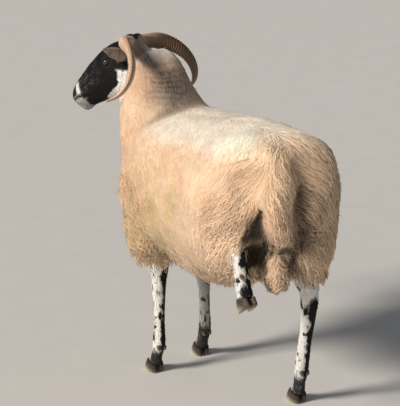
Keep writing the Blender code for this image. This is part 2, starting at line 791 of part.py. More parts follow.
def horn_rows(side):
    rows = []
    across = smooth_rows([(value,) for value in HORN_ACROSS], 8)[:, 0]
    deep = smooth_rows([(value,) for value in HORN_DEEP], 8)[:, 0]
    for i in range(HORN_RINGS + 1):
        share = (i / HORN_RINGS) ** HORN_EASE
        angle = math.radians(HORN_START + (HORN_END - HORN_START) * share)
        coil = HORN_COIL_START + (HORN_COIL_END - HORN_COIL_START) * share
        forward = HORN_BACK + coil * math.cos(angle)
        over = HORN_DOWN + coil * math.sin(angle)
        out = HORN_ROOT_OUT + HORN_SPREAD * share**HORN_SPREAD_POWER
        step = i / HORN_RINGS * (len(across) - 1)
        half_width = float(np.interp(step, range(len(across)), across))
        half_depth = float(np.interp(step, range(len(deep)), deep))
        point = POLL + HEADING * forward + HEAD_LEFT * (side * out) + HEAD_OVER * over
        rows.append((*point, half_width, half_depth, half_depth))
    root = Vector(rows[0][:3]) - HEAD_LEFT * (side * HORN_SOCKET) - HEAD_OVER * (HORN_SOCKET * 0.45)
    rows.insert(0, (*root, *rows[0][3:]))
    return rows


def add_horn(side, label):
    rows = horn_rows(side)
    horn = loft(f"horn_{label}", rows, HEADING, 2.0, HORN_SIDES, 0.0, 1)
    BODY_COLLECTION.objects.link(horn)
    finish(horn, HORN, 0.6)
    socket = cutter(loft(f"horn_socket_{label}", deeper(rows), HEADING, 2.0, HORN_SIDES, GAP * 1.3, 1))
    boolean(head, "DIFFERENCE", socket)
    boolean(neck, "DIFFERENCE", socket)
    largest_piece(settle(head))
    largest_piece(settle(neck))


for side, label in ((1, "left"), (-1, "right")):
    add_eye(side, label)
    add_ear(side, label)
    add_horn(side, label)


# ================================================================ the origin
def centre_on_floor():
    """Moves every node so that the middle of the object's footprint box is the origin."""
    bpy.context.view_layer.update()
    points = np.vstack([[vert.co for vert in obj.data.vertices] for obj in BODY_COLLECTION.objects])
    low = points.min(axis=0)
    high = points.max(axis=0)
    move = Matrix.Translation((-(low[0] + high[0]) / 2, -(low[1] + high[1]) / 2, -low[2]))
    for obj in bpy.data.objects:
        obj.data.transform(move)


centre_on_floor()
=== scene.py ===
import math

import bmesh
import bpy
import numpy as np
from mathutils import Matrix, Vector
from mathutils.bvhtree import BVHTree


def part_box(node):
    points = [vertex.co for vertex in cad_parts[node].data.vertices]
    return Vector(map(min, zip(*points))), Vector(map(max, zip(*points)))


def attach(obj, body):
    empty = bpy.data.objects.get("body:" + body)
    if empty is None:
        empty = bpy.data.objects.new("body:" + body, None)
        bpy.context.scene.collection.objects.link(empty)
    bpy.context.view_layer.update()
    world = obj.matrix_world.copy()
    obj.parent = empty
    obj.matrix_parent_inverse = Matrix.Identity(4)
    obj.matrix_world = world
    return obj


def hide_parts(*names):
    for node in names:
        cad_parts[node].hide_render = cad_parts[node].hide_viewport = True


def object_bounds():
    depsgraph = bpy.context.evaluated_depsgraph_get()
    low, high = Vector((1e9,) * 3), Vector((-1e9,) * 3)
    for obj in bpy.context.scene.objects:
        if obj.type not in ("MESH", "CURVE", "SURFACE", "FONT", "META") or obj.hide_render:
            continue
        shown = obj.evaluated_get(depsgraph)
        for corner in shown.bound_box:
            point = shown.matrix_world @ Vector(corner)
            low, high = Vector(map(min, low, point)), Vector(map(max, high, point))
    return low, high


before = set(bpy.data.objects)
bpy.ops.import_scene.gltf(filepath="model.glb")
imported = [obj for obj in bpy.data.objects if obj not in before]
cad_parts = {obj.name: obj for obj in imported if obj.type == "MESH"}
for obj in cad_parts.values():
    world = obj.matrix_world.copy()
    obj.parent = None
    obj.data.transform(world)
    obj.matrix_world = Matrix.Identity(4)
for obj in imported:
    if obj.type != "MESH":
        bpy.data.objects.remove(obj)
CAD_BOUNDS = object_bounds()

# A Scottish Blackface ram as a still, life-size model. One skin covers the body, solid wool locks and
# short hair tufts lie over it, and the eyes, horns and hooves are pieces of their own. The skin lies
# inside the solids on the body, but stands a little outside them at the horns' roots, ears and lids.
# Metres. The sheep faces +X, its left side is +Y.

# ---------------------------------------------------------------- sizes
# The skin: the grid it is rebuilt on, how deep it lies under each kind of coat, and its faces.
VOXEL = 0.0030
SOFT_DEPTH = 0.0100
CURLED_DEPTH = 0.0190
HAIR_DEPTH = 0.0015
SKIN_FACES = 84000
# The head: how steeply it hangs, in degrees, and where the eyes sit from the poll.
HEAD_PITCH = 36.0
EYE_ALONG = 0.0745
EYE_UP = 0.0025
EYE_RADIUS = 0.0125
# How much of the unwrap's square each strand takes.
PATCH = 0.003
# Where the wool ends: behind the poll, and on the raised leg.
POLL_WOOL = -0.010
RAISED_BARE = 0.415
RAISED_SIDE = (0.530, 0.848)
RAISED_EDGE = -0.043
# Heights where the wool stops on two of the legs, and how much thinner the leg is just below.
WOOL_STOPS = {"leg_hind_right_upper": 0.398, "leg_fore_left_upper": 0.352}
LEG_TOP_SLIM = 0.0075

LIMBS = ("fore_left", "fore_right", "hind_left", "hind_right")
UPPER_LEGS = tuple(f"leg_{name}_upper" for name in LIMBS)
LOWER_LEGS = tuple(f"leg_{name}_lower" for name in LIMBS)
WOOLLY = ("trunk", "neck", "tail", "scrotum", *UPPER_LEGS)
HAIRY = ("head", *LOWER_LEGS)
FLESH = WOOLLY + HAIRY
SIDES = (("left", 1), ("right", -1))


# ================================================================ small tools
def unit(rows):
    rows = np.asarray(rows, float)
    return rows / np.maximum(np.linalg.norm(rows, axis=-1, keepdims=True), 1e-9)


def ramp(values, low, high):
    """0 below low, 1 above high, smooth between. Low may be the larger one."""
    share = np.clip((values - low) / (high - low), 0.0, 1.0)
    return share * share * (3 - 2 * share)


def middle_of(node):
    low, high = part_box(node)
    return np.array((low + high) / 2)


LATTICE = np.random.default_rng(11).uniform(-1.0, 1.0, (32, 32, 32))


def noise(points, size, shift=0.0):
    """Smooth noise from -1 to 1 whose features are about size across."""
    spots = np.asarray(points) / size + shift
    base = np.floor(spots).astype(int)
    part = spots - base
    part = part * part * (3 - 2 * part)
    total = np.zeros(len(spots))
    for corner in range(8):
        bits = np.array([corner & 1, corner >> 1 & 1, corner >> 2 & 1])
        weight = np.prod(np.where(bits, part, 1 - part), axis=1)
        i, j, k = ((base + bits) % 32).T
        total += weight * LATTICE[i, j, k]
    return total


def rough_noise(points, size, shift=0.0):
    return (noise(points, size, shift) + 0.5 * noise(points, size / 2, shift + 7.3)) / 1.5


def mesh_points(mesh):
    flat = np.empty(len(mesh.vertices) * 3, np.float32)
    mesh.vertices.foreach_get("co", flat)
    return flat.reshape(-1, 3).astype(float)


def mesh_normals(mesh):
    flat = np.empty(len(mesh.vertices) * 3, np.float32)
    mesh.vertex_normals.foreach_get("vector", flat)
    return flat.reshape(-1, 3).astype(float)


def mesh_edges(mesh):
    flat = np.empty(len(mesh.edges) * 2, np.int32)
    mesh.edges.foreach_get("vertices", flat)
    return flat.reshape(-1, 2)


def place_points(mesh, points):
    mesh.vertices.foreach_set("co", np.ascontiguousarray(points, np.float32).ravel())
    mesh.update()


def spread_values(values, edges, steps, share=0.5, weight=1.0):
    """Relaxes per-vertex values, or points, towards their neighbours' mean."""
    count = len(values)
    ones = np.bincount(edges.ravel(), minlength=count).astype(float)
    columns = values.reshape(count, -1).copy()
    a, b = edges.T
    for _ in range(steps):
        mean = np.empty_like(columns)
        for c in range(columns.shape[1]):
            column = columns[:, c]
            mean[:, c] = np.bincount(a, column[b], count) + np.bincount(b, column[a], count)
        mean /= np.maximum(ones, 1)[:, None]
        columns += (mean - columns) * share * np.reshape(weight, (-1, 1))
    return columns.reshape(values.shape)


def new_object(name, data):
    obj = bpy.data.objects.new(name, data)
    bpy.context.scene.collection.objects.link(obj)
    return obj


def mesh_object(name, points, faces):
    mesh = bpy.data.meshes.new(name)
    mesh.from_pydata([tuple(p) for p in points], [], faces)
    mesh.update()
    return new_object(name, mesh)


def smooth_shaded(obj):
    obj.data.polygons.foreach_set("use_smooth", [True] * len(obj.data.polygons))
    obj.data.update()


def store_floats(mesh, name, values):
    made = mesh.attributes.new(name, "FLOAT", "POINT")
    made.data.foreach_set("value", np.ascontiguousarray(values, np.float32).ravel())


def read_floats(mesh, name):
    values = np.empty(len(mesh.vertices), np.float32)
    mesh.attributes[name].data.foreach_get("value", values)
    return values.astype(float)


def paint(mesh, colours, darkest=0.01, brightest=0.9):
    """Stores each vertex's colour, which the materials read."""
    rgba = np.c_[np.clip(colours, darkest, brightest), np.ones(len(colours))]
    made = mesh.attributes.new("tint", "FLOAT_COLOR", "POINT")
    made.data.foreach_set("color", np.ascontiguousarray(rgba, np.float32).ravel())


def tube_points(centres, sides_axis, rises, widths, heights, count):
    """Rings of an elliptical tube, one row of points for each centre."""
    angles = np.arange(count) * 2 * math.pi / count
    across = np.cos(angles)[None, :, None] * widths[:, None, None] * sides_axis[:, None, :]
    over = np.sin(angles)[None, :, None] * heights[:, None, None] * rises[:, None, :]
    return centres[:, None, :] + across + over


def tube_faces(rings, count, closed=True):
    faces = []
    for r in range(rings - 1):
        for i in range(count):
            j = (i + 1) % count
            faces.append((r * count + i, r * count + j, (r + 1) * count + j, (r + 1) * count + i))
    if closed:
        faces.append(tuple(range(count))[::-1])
        faces.append(tuple(range((rings - 1) * count, rings * count)))
    return faces


# ================================================================ the head's frame
EYES = {label: middle_of(f"eye_{label}") for label, _ in SIDES}
HEAD_LEFT = unit(EYES["left"] - EYES["right"])
HEADING = unit(np.cross(HEAD_LEFT, (0.0, 0.0, 1.0)))
HEAD_OVER = unit(np.cross(HEADING, HEAD_LEFT))
PITCH = math.radians(HEAD_PITCH)
SKULL_AXIS = unit(HEADING * math.cos(PITCH) - HEAD_OVER * math.sin(PITCH))
SKULL_UP = np.cross(SKULL_AXIS, HEAD_LEFT)
POLL = (EYES["left"] + EYES["right"]) / 2 - SKULL_AXIS * EYE_ALONG - SKULL_UP * EYE_UP


def on_skull(along, out, up):
    return POLL + SKULL_AXIS * along + HEAD_LEFT * out + SKULL_UP * up


def skull_coordinates(points):
    away = np.asarray(points) - POLL
    return away @ SKULL_AXIS, away @ HEAD_LEFT, away @ SKULL_UP


# ================================================================ the skin
def ball_mesh(centre, radius):
    made = bmesh.new()
    bmesh.ops.create_icosphere(made, subdivisions=3, radius=1.0)
    size = np.broadcast_to(radius, 3)
    frame_axes = Matrix((SKULL_AXIS, HEAD_LEFT, SKULL_UP)).transposed().to_4x4()
    made.transform(Matrix.Translation(centre) @ frame_axes @ Matrix.Diagonal((*size, 1.0)))
    return made


# name, along, half width, half thickness, cup
EAR = (
    (-0.020, 0.0120, 0.0100, 0.0),
    (0.000, 0.0150, 0.0092, 0.0030),
    (0.022, 0.0190, 0.0060, 0.0075),
    (0.050, 0.0190, 0.0044, 0.0080),
    (0.078, 0.0132, 0.0038, 0.0055),
    (0.096, 0.0062, 0.0032, 0.0030),
    (0.105, 0.0024, 0.0024, 0.0010),
)
EAR_ALONG = 0.008
EAR_OUT = 0.047
EAR_DOWN = 0.032
EAR_FORWARD = 0.34
EAR_RISE = 0.34
EAR_RINGS = 26
EAR_SIDES = 28


def ear_frame(side):
    base = on_skull(EAR_ALONG, side * EAR_OUT, -EAR_DOWN)
    aim = unit(HEAD_LEFT * side + HEADING * EAR_FORWARD + HEAD_OVER * EAR_RISE)
    across = (HEAD_OVER - HEADING * 0.55) * side
    across = unit(across - aim * (across @ aim))
    return base, aim, across, np.cross(aim, across)


def ear_shell(side):
    """A cupped leaf: its hollow side opens forward and down."""
    base, aim, across, rise = ear_frame(side)
    table = np.array(EAR)
    spots = np.linspace(table[0, 0], table[-1, 0], EAR_RINGS)
    sizes = [np.interp(spots, table[:, 0], table[:, c]) for c in (1, 2, 3)]
    rings = tube_points(base + spots[:, None] * aim, np.tile(across, (EAR_RINGS, 1)),
                        np.tile(rise, (EAR_RINGS, 1)), sizes[0], sizes[1], EAR_SIDES)
    share = ((rings - (base + spots[:, None] * aim)[:, None, :]) @ across) / sizes[0][:, None]
    rings = rings + (share ** 2 * sizes[2][:, None] * 1.5)[..., None] * rise
    return rings.reshape(-1, 3), tube_faces(EAR_RINGS, EAR_SIDES)


def flesh_object():
    """All flesh solids, with the sockets of eyes, ears and horns filled, in one mesh."""
    made = bmesh.new()
    for node in FLESH:
        made.from_mesh(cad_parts[node].data)
    fillers = []
    for label, side in SIDES:
        fillers.append(ball_mesh(Vector(EYES[label]), EYE_RADIUS * 1.04))
        fillers.append(ball_mesh(Vector(EYES[label] + HEAD_LEFT * side * 0.004), EYE_RADIUS * 0.80))
        fillers.append(ball_mesh(Vector(on_skull(EAR_ALONG, side * (EAR_OUT - 0.012), -EAR_DOWN)), 0.016))
        root = HORN_ROOTS[label]
        fillers.append(ball_mesh(Vector(root - HEAD_LEFT * side * 0.010), 0.0235))
    for filler in fillers:
        temporary = bpy.data.meshes.new("filler")
        filler.to_mesh(temporary)
        filler.free()
        made.from_mesh(temporary)
        bpy.data.meshes.remove(temporary)
    for side in (1, -1):
        points, faces = ear_shell(side)
        verts = [made.verts.new(p) for p in points]
        for face in faces:
            made.faces.new([verts[i] for i in face])
    bmesh.ops.recalc_face_normals(made, faces=made.faces)
    mesh = bpy.data.meshes.new("skin")
    made.to_mesh(mesh)
    made.free()
    return new_object("skin", mesh)


def apply_modifiers(obj):
    graph = bpy.context.evaluated_depsgraph_get()
    mesh = bpy.data.meshes.new_from_object(obj.evaluated_get(graph))
    obj.modifiers.clear()
    obj.vertex_groups.clear()
    obj.data = mesh


def nearest_nodes(points):
    """For each point, the index in FLESH of the solid whose surface is nearest."""
    verts = []
    faces = []
    owners = []
    for index, node in enumerate(FLESH):
        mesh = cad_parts[node].data
        start = len(verts)
        verts.extend(v.co.copy() for v in mesh.vertices)
        for polygon in mesh.polygons:
            faces.append([start + i for i in polygon.vertices])
            owners.append(index)
    tree = BVHTree.FromPolygons(verts, faces)
    return np.array([owners[tree.find_nearest(p)[2]] for p in points.tolist()])


# ---------------------------------------------------------------- horns' path, needed for their roots
HORN_ROOT_OUT = 0.0306
HORN_BACK = -0.0242
HORN_DOWN = -0.0832
HORN_START = 76.3
HORN_END = 236.7
HORN_COIL_START = 0.1045
HORN_COIL_END = 0.0528
HORN_SPREAD = 0.2121
HORN_SPREAD_POWER = 0.4665
HORN_ACROSS = (0.0180, 0.0153, 0.0125, 0.0104, 0.0090, 0.0081, 0.0069, 0.0040)
HORN_DEEP = (0.0175, 0.0190, 0.0197, 0.0182, 0.0157, 0.0127, 0.0085, 0.0040)
HORN_EASE = 1.7
HORN_RINGS = 260
HORN_SIDES = 28
HORN_RIDGE = 0.0085
HORN_RIDGE_HEIGHT = 0.0014


def horn_path(side):
    """The horn's middle line from root to tip, and its half width and half depth there."""
    t = np.linspace(0.0, 1.0, HORN_RINGS)
    share = t ** HORN_EASE
    angle = np.radians(HORN_START + (HORN_END - HORN_START) * share)
    coil = HORN_COIL_START + (HORN_COIL_END - HORN_COIL_START) * share
    forward = HORN_BACK + coil * np.cos(angle)
    over = HORN_DOWN + coil * np.sin(angle)
    out = HORN_ROOT_OUT + HORN_SPREAD * share ** HORN_SPREAD_POWER
    points = POLL + forward[:, None] * HEADING + side * out[:, None] * HEAD_LEFT + over[:, None] * HEAD_OVER
    across = np.interp(t, np.linspace(0, 1, len(HORN_ACROSS)), HORN_ACROSS)
    deep = np.interp(t, np.linspace(0, 1, len(HORN_DEEP)), HORN_DEEP)
    return points, across, deep


HORN_ROOTS = {label: horn_path(side)[0][0] for label, side in SIDES}


def eyelids(points, label, side):
    """Opens the lids: the ball shows inside the slit, and the lids wrap it outside."""
    centre = EYES[label]
    away = points - centre
    distance = np.linalg.norm(away, axis=1)
    along = away @ SKULL_AXIS
    out = away @ HEAD_LEFT * side
    up = away @ SKULL_UP - 0.10 * along
    near = (distance < 0.030) & (out > 0.001)
    slit = np.sqrt((along / 0.0108) ** 2 + (up / np.where(up > 0, 0.0056, 0.0052)) ** 2)
    inside = EYE_RADIUS - 0.0040
    lid = EYE_RADIUS + 0.0019 + 0.0010 * np.exp(-((up - 0.0085) / 0.003) ** 2)
    target = np.where(slit < 1.0, inside, lid)
    blend = np.where(slit < 1.0, 1.0, 1 - ramp(slit, 1.35, 2.1)) * near
    scale = 1 + (target / np.maximum(distance, 1e-6) - 1) * blend
    moved = centre + away * scale[:, None]
    # A soft fold above the upper lid.
    fold = np.exp(-((slit - 2.05) / 0.22) ** 2) * near * (up > 0)
    moved -= side * HEAD_LEFT * (0.0014 * fold)[:, None]
    return moved


def dab(points, centre, reach, move):
    """Moves points near centre by move, fading out over its reach on each of the skull's axes."""
    away = points - centre
    local = np.stack([away @ SKULL_AXIS / reach[0], away @ HEAD_LEFT / reach[1],
                      away @ SKULL_UP / reach[2]], axis=1)
    strength = np.exp(-(local ** 2).sum(axis=1))
    return points + strength[:, None] * move


def groove(points, path, width, depth, normals):
    """Presses a groove along a path of points."""
    gap, _ = line_distance(points, path)
    return points - normals * (np.exp(-(gap / width) ** 2) * depth)[:, None]


# Places on the head are along, out and up from the poll. Each dab is a place, its reach on the three axes,
# and how far it moves the surface outwards and upwards.
SKULL_DABS = (
    ((0.055, 0.040, 0.026), (0.020, 0.012, 0.010), 0.0025, 0.0030),  # brow
    ((0.108, 0.040, 0.006), (0.014, 0.012, 0.010), -0.0040, 0.0),  # hollow before the eye
    ((0.130, 0.040, -0.022), (0.030, 0.014, 0.006), 0.0022, 0.0),  # cheek's ridge
    ((0.165, 0.034, -0.010), (0.028, 0.014, 0.012), -0.0030, 0.0),  # side of the nose
    ((0.075, 0.048, -0.060), (0.032, 0.018, 0.026), 0.0030, 0.0),  # jaw muscle
    ((0.150, 0.030, -0.056), (0.034, 0.014, 0.014), -0.0030, 0.0),  # hollow before the jaw
    ((0.228, 0.018, -0.006), (0.014, 0.010, 0.012), 0.0035, 0.0),  # nostril's wing
)
LIP_DABS = (
    ((0.226, 0.020, -0.017), (0.020, 0.010, 0.006), 0.0020, 0.0),
    ((0.216, 0.020, -0.038), (0.016, 0.010, 0.007), 0.0018, 0.0),
)
NOSE_BRIDGE = ((0.150, 0.0, 0.040), (0.050, 0.018, 0.012), 0.0, 0.0040)
NOSTRIL = ((0.2470, 0.0085, -0.0130), (0.2430, 0.0150, -0.0050), (0.2360, 0.0205, 0.0020),
           (0.2280, 0.0235, 0.0035))
MOUTH = ((0.2480, 0.0020, -0.0290), (0.2380, 0.0180, -0.0270), (0.2200, 0.0290, -0.0260),
         (0.2000, 0.0330, -0.0350), (0.1800, 0.0330, -0.0480))
PHILTRUM = ((0.252, 0.0, -0.016), (0.250, 0.0, -0.034))


def skull_path(rows, side):
    return [on_skull(along, side * out, up) for along, out, up in rows]


def dab_all(points, rows, side):
    for place, reach, outwards, upwards in rows:
        move = side * HEAD_LEFT * outwards + SKULL_UP * upwards
        points = dab(points, skull_path([place], side)[0], reach, move)
    return points


def sculpt_head(points, normals):
    """Brow, nose, cheeks, nostrils and lips, as moves in the skull's own axes."""
    for side in (1, -1):
        points = dab_all(points, SKULL_DABS, side)
        points = groove(points, skull_path(NOSTRIL, side), 0.0032, 0.0065, normals)
        points = groove(points, skull_path(MOUTH, side), 0.0026, 0.0045, normals)
        points = dab_all(points, LIP_DABS, side)
    points = dab_all(points, [NOSE_BRIDGE], 1)
    return groove(points, skull_path(PHILTRUM, 1), 0.0020, 0.0025, normals)


def fleece_sway(points):
    """How far the borders between kinds of fleece wander."""
    return 0.045 * rough_noise(points, 0.090, 5.5)


def chest_share(points):
    """1 on the chest and shoulders, where the wool hangs in curls, fading out over the sides."""
    sway = fleece_sway(points)
    return ramp(points[:, 0] + sway, -0.11, 0.12) * ramp(points[:, 2] + 0.7 * sway, 0.76, 0.55)


def curled(points):
    """1 where the fleece hangs in crimped locks or curls, 0 where it is soft and close."""
    x, _, z = points.T
    sway = fleece_sway(points)
    rear = ramp(-x + 0.35 * (0.60 - z) + sway, 0.13, 0.27)
    low = ramp(z + sway, 0.53, 0.42)
    return np.maximum(np.maximum(chest_share(points), rear), low)


# The rump's places of painted shade, each a path with a half width at each of its points, from the top
# down: the hollow between left thigh and tail, the fold between tail and right thigh, and the gap under
# the tail. Their darkened colour is painted shade, where shade falls in these recesses.
HOLLOW = ((-0.4403, 0.1310, 0.6106, 0.004), (-0.4356, 0.1333, 0.5923, 0.009),
          (-0.4219, 0.1323, 0.5687, 0.020), (-0.3784, 0.1078, 0.5285, 0.033),
          (-0.3376, 0.0790, 0.4794, 0.034), (-0.3340, 0.0730, 0.4420, 0.024))
FOLD = ((-0.4324, 0.0131, 0.6575, 0.007), (-0.4495, 0.0278, 0.6204, 0.015),
        (-0.4595, 0.0342, 0.5807, 0.019), (-0.4294, 0.0073, 0.5229, 0.020),
        (-0.3934, -0.0141, 0.4840, 0.014))
TAIL_GAP = ((-0.4543, 0.1218, 0.5273, 0.006), (-0.4626, 0.0859, 0.5134, 0.008),
            (-0.3877, -0.0093, 0.4674, 0.013), (-0.3850, 0.0050, 0.4300, 0.009))
# For each: its path, how dark its painted shade is, how deep it is pressed in, and how much wider
# the press is.
PAINTED_SHADE_PLACES = ((HOLLOW, 1.0, 0.024, 0.008), (FOLD, 0.60, 0.020, 0.008), (TAIL_GAP, 0.80, 0.014, 0.006))
# The neck's wrinkles: their middle, their reach, the way from one to the next, and their height.
NECK_FOLDS = (0.155, 0.020, 0.835)
NECK_FOLD_REACH = (0.085, 0.075, 0.055)
NECK_FOLD_STEP = 0.0170
NECK_FOLD_HEIGHT = 0.0032
RUMP_OUT = unit((-0.85, 0.50, 0.16))
RUMP_START = 0.25


def line_distance(points, path):
    """Distance to a path of points, and the share of the path's length at the nearest place."""
    path = np.array(path)
    best = np.full(len(points), 1e9)
    place = np.zeros(len(points))
    for k, (a, b) in enumerate(zip(path, path[1:])):
        edge = b - a
        share = np.clip((points - a) @ edge / (edge @ edge), 0, 1)
        gap = np.linalg.norm(points - a - share[:, None] * edge, axis=1)
        place = np.where(gap < best, (k + share) / (len(path) - 1), place)
        best = np.minimum(best, gap)
    return best, place


def fold_reach(points, path, spare=0.0):
    """How far points are from a path, as a share of its half width, seen the way the rump faces."""
    path = np.array(path)
    flat = points - (points @ RUMP_OUT)[:, None] * RUMP_OUT
    line = path[:, :3] - (path[:, :3] @ RUMP_OUT)[:, None] * RUMP_OUT
    gap, place = line_distance(flat, line)
    return gap / (spare + np.interp(place * (len(path) - 1), np.arange(len(path)), path[:, 3]))


def neck_ripple(points):
    """The wrinkles where the turned neck's rear side is pressed together: 1 on a ridge, -1 in a valley, and
    how strongly they show."""
    here = np.exp(-(((points - NECK_FOLDS) / NECK_FOLD_REACH) ** 4).sum(axis=1))
    travel = points[:, 2] + 0.22 * points[:, 0] + 0.012 * noise(points, 0.045, 8.0)
    return np.cos(2 * math.pi * travel / NECK_FOLD_STEP), here


def fold_shade(points):
    """Painted shade: 1 deep in the rump's shaded recesses, some in the neck's wrinkle valleys, 0 elsewhere.
    """
    ripple, here = neck_ripple(points)
    # The valleys of the neck's wrinkles get a little painted shade.
    shade = 0.38 * ramp(-ripple, -0.1, 1.0) * here
    rear = (points[:, 0] < -RUMP_START).nonzero()[0]
    near = points[rear]
    for path, strength, _, _ in PAINTED_SHADE_PLACES:
        shade[rear] = np.maximum(shade[rear], strength * np.exp(-fold_reach(near, path) ** 4))
    return shade


def fleece_depth(points):
    return SOFT_DEPTH + (CURLED_DEPTH - SOFT_DEPTH) * curled(points)


def make_skin():
    obj = flesh_object()
    remesh = obj.modifiers.new("Remesh", "REMESH")
    remesh.mode = "VOXEL"
    remesh.voxel_size = VOXEL
    apply_modifiers(obj)
    mesh = obj.data
    points = mesh_points(mesh)
    edges = mesh_edges(mesh)
    owner = nearest_nodes(points)
    wool = (owner < len(WOOLLY)).astype(float)
    ear = np.zeros(len(points))
    for side in (1, -1):
        base, aim, _, _ = ear_frame(side)
        away = points - base
        reach = away @ aim
        close = np.linalg.norm(away - reach[:, None] * aim, axis=1) < 0.034
        ear = np.maximum(ear, ramp(reach, 0.010, 0.022) * close)
    # Wool also covers the poll behind the horns.
    behind = (points - POLL) @ HEADING
    wool[(owner == FLESH.index("head")) & (behind < POLL_WOOL)] = 1.0
    # The raised leg's root spreads forward into the flank, and is woolly there.
    raised = (owner == FLESH.index("leg_hind_left_lower")) & (points[:, 2] > RAISED_BARE)
    wool[raised & (points[:, 0] * RAISED_SIDE[0] + points[:, 1] * RAISED_SIDE[1] > RAISED_EDGE)] = 1.0
    slim = np.zeros(len(points))
    for name, stop in WOOL_STOPS.items():
        below = (owner == WOOLLY.index(name)) & (points[:, 2] < stop)
        wool[below] = 0.0
        slim[below] = 1.0
    slim = spread_values(slim, edges, 12)
    wool *= ear < 0.05
    wool = spread_values(wool, edges, 12)
    points = spread_values(points, edges, 5, 0.5, 1 - 0.75 * ear)
    points = spread_values(points, edges, 40, 0.5, ramp(wool, 0.35, 1.0))
    # The skin goes in under the coat, a little at a time.
    passes = 6
    coat = fleece_depth(points)
    for _ in range(passes):
        place_points(mesh, points)
        step = (HAIR_DEPTH + (coat - HAIR_DEPTH) * wool + LEG_TOP_SLIM * slim) / passes * (1 - ear)
        points = points - mesh_normals(mesh) * step[:, None]
        points = spread_values(points, edges, 2, 0.5, ramp(wool, 0.2, 0.9))
    place_points(mesh, points)
    normals = mesh_normals(mesh)
    press = np.zeros(len(points))
    for path, _, depth, wider in PAINTED_SHADE_PLACES:
        press = np.maximum(press, depth * np.exp(-fold_reach(points, path, wider) ** 2))
    press *= points[:, 0] < -RUMP_START
    ripple, here = neck_ripple(points)
    press -= NECK_FOLD_HEIGHT * ripple * here
    press += 0.0045 * rough_noise(points, 0.065, 9.1) * ramp(-points[:, 0], -0.16, -0.10)
    points = points - normals * (press * ramp(wool, 0.2, 0.8))[:, None]
    points = spread_values(points, edges, 4, 0.5, ramp(wool, 0.2, 0.9))
    place_points(mesh, points)
    store_floats(mesh, "wool", wool)
    store_floats(mesh, "ear", ear)
    group = obj.vertex_groups.new(name="thin")
    keep = (wool > 0.9).nonzero()[0].tolist()
    group.add(keep, 1.0, "REPLACE")
    thin = obj.modifiers.new("Thin", "DECIMATE")
    thin.ratio = SKIN_FACES / len(mesh.polygons)
    thin.vertex_group = "thin"
    thin.vertex_group_factor = 10.0
    apply_modifiers(obj)
    return obj


def refine_near(obj, spots):
    """Splits the faces near the given spots, for lids, lips and nostrils."""
    made = bmesh.new()
    made.from_mesh(obj.data)
    chosen = set()
    for centre, radius in spots:
        centre = Vector(centre)
        for face in made.faces:
            if (face.calc_center_median() - centre).length < radius:
                chosen.update(face.edges)
    bmesh.ops.subdivide_edges(made, edges=list(chosen), cuts=1, use_grid_fill=True)
    bmesh.ops.triangulate(made, faces=[f for f in made.faces if len(f.verts) > 4])
    made.to_mesh(obj.data)
    made.free()


SKIN = make_skin()
refine_near(SKIN, [(EYES["left"], 0.024), (EYES["right"], 0.024), (on_skull(0.232, 0.0, -0.022), 0.040)])
skin_mesh = SKIN.data
head_points = mesh_points(skin_mesh)
lid_zone = sum(np.exp(-(np.linalg.norm(head_points - eye, axis=1) / 0.020) ** 4) for eye in EYES.values())
head_points = spread_values(head_points, mesh_edges(skin_mesh), 3, 0.5, np.clip(lid_zone, 0, 1))
place_points(skin_mesh, head_points)
head_points = sculpt_head(head_points, mesh_normals(skin_mesh))
head_points = eyelids(eyelids(head_points, "left", 1), "right", -1)
place_points(skin_mesh, head_points)
smooth_shaded(SKIN)


# ================================================================ colours and markings
CREAM = np.array((0.750, 0.550, 0.390))
# The paler colour of painted light on the up-facing back.
PAINTED_LIGHT_BACK = np.array((0.900, 0.805, 0.680))
TAN = np.array((0.560, 0.390, 0.210))
BLUSH = np.array((0.700, 0.450, 0.300))
STAIN = np.array((0.520, 0.420, 0.180))
# Painted shadow of the horns on the poll and the neck's rear side: its grey, and the path behind the near
# horn that it lies along.
PAINTED_POLL_SHADOW = np.array((0.170, 0.155, 0.155))
POLL_SHADE = ((0.2780, 0.0400, 0.9350), (0.2683, 0.0674, 0.9315), (0.2373, 0.0526, 0.9199),
              (0.2120, 0.0650, 0.9030))
# The colour of painted shade in the rump's recesses and the neck's wrinkle valleys.
PAINTED_SHADE_DARK = np.array((0.030, 0.022, 0.016))
BLACK = np.array((0.014, 0.013, 0.013))
GREY = np.array((0.075, 0.073, 0.078))
WHITE = np.array((0.900, 0.880, 0.840))
EAR_BROWN = np.array((0.430, 0.350, 0.320))
EAR_RIM = np.array((0.620, 0.570, 0.520))
EAR_HOLLOW = np.array((0.240, 0.150, 0.125))
NOSE = np.array((0.060, 0.045, 0.042))
CHEEK_TOP = 0.863
# How much lighter the left thigh's wool is painted, as painted light.
THIGH_PAINTED_LIGHT = 0.24
# Greenish stains on the left side: middle and reach.
STAINS = (((-0.095, 0.20, 0.560), (0.032, 0.09, 0.075)), ((-0.003, 0.21, 0.575), (0.026, 0.09, 0.075)),
          ((0.02, 0.18, 0.470), (0.09, 0.09, 0.040)))

# The spine, seen from above, is a shallow arch about this point.
SPINE_X = -0.1085
SPINE_Y = -0.0255
SPINE_BEND = 0.60


def spine_y(x):
    return SPINE_Y + SPINE_BEND * (x - SPINE_X) ** 2


def blend_colour(base, colour, share):
    return base + (np.asarray(colour) - base) * np.reshape(share, (-1, 1))


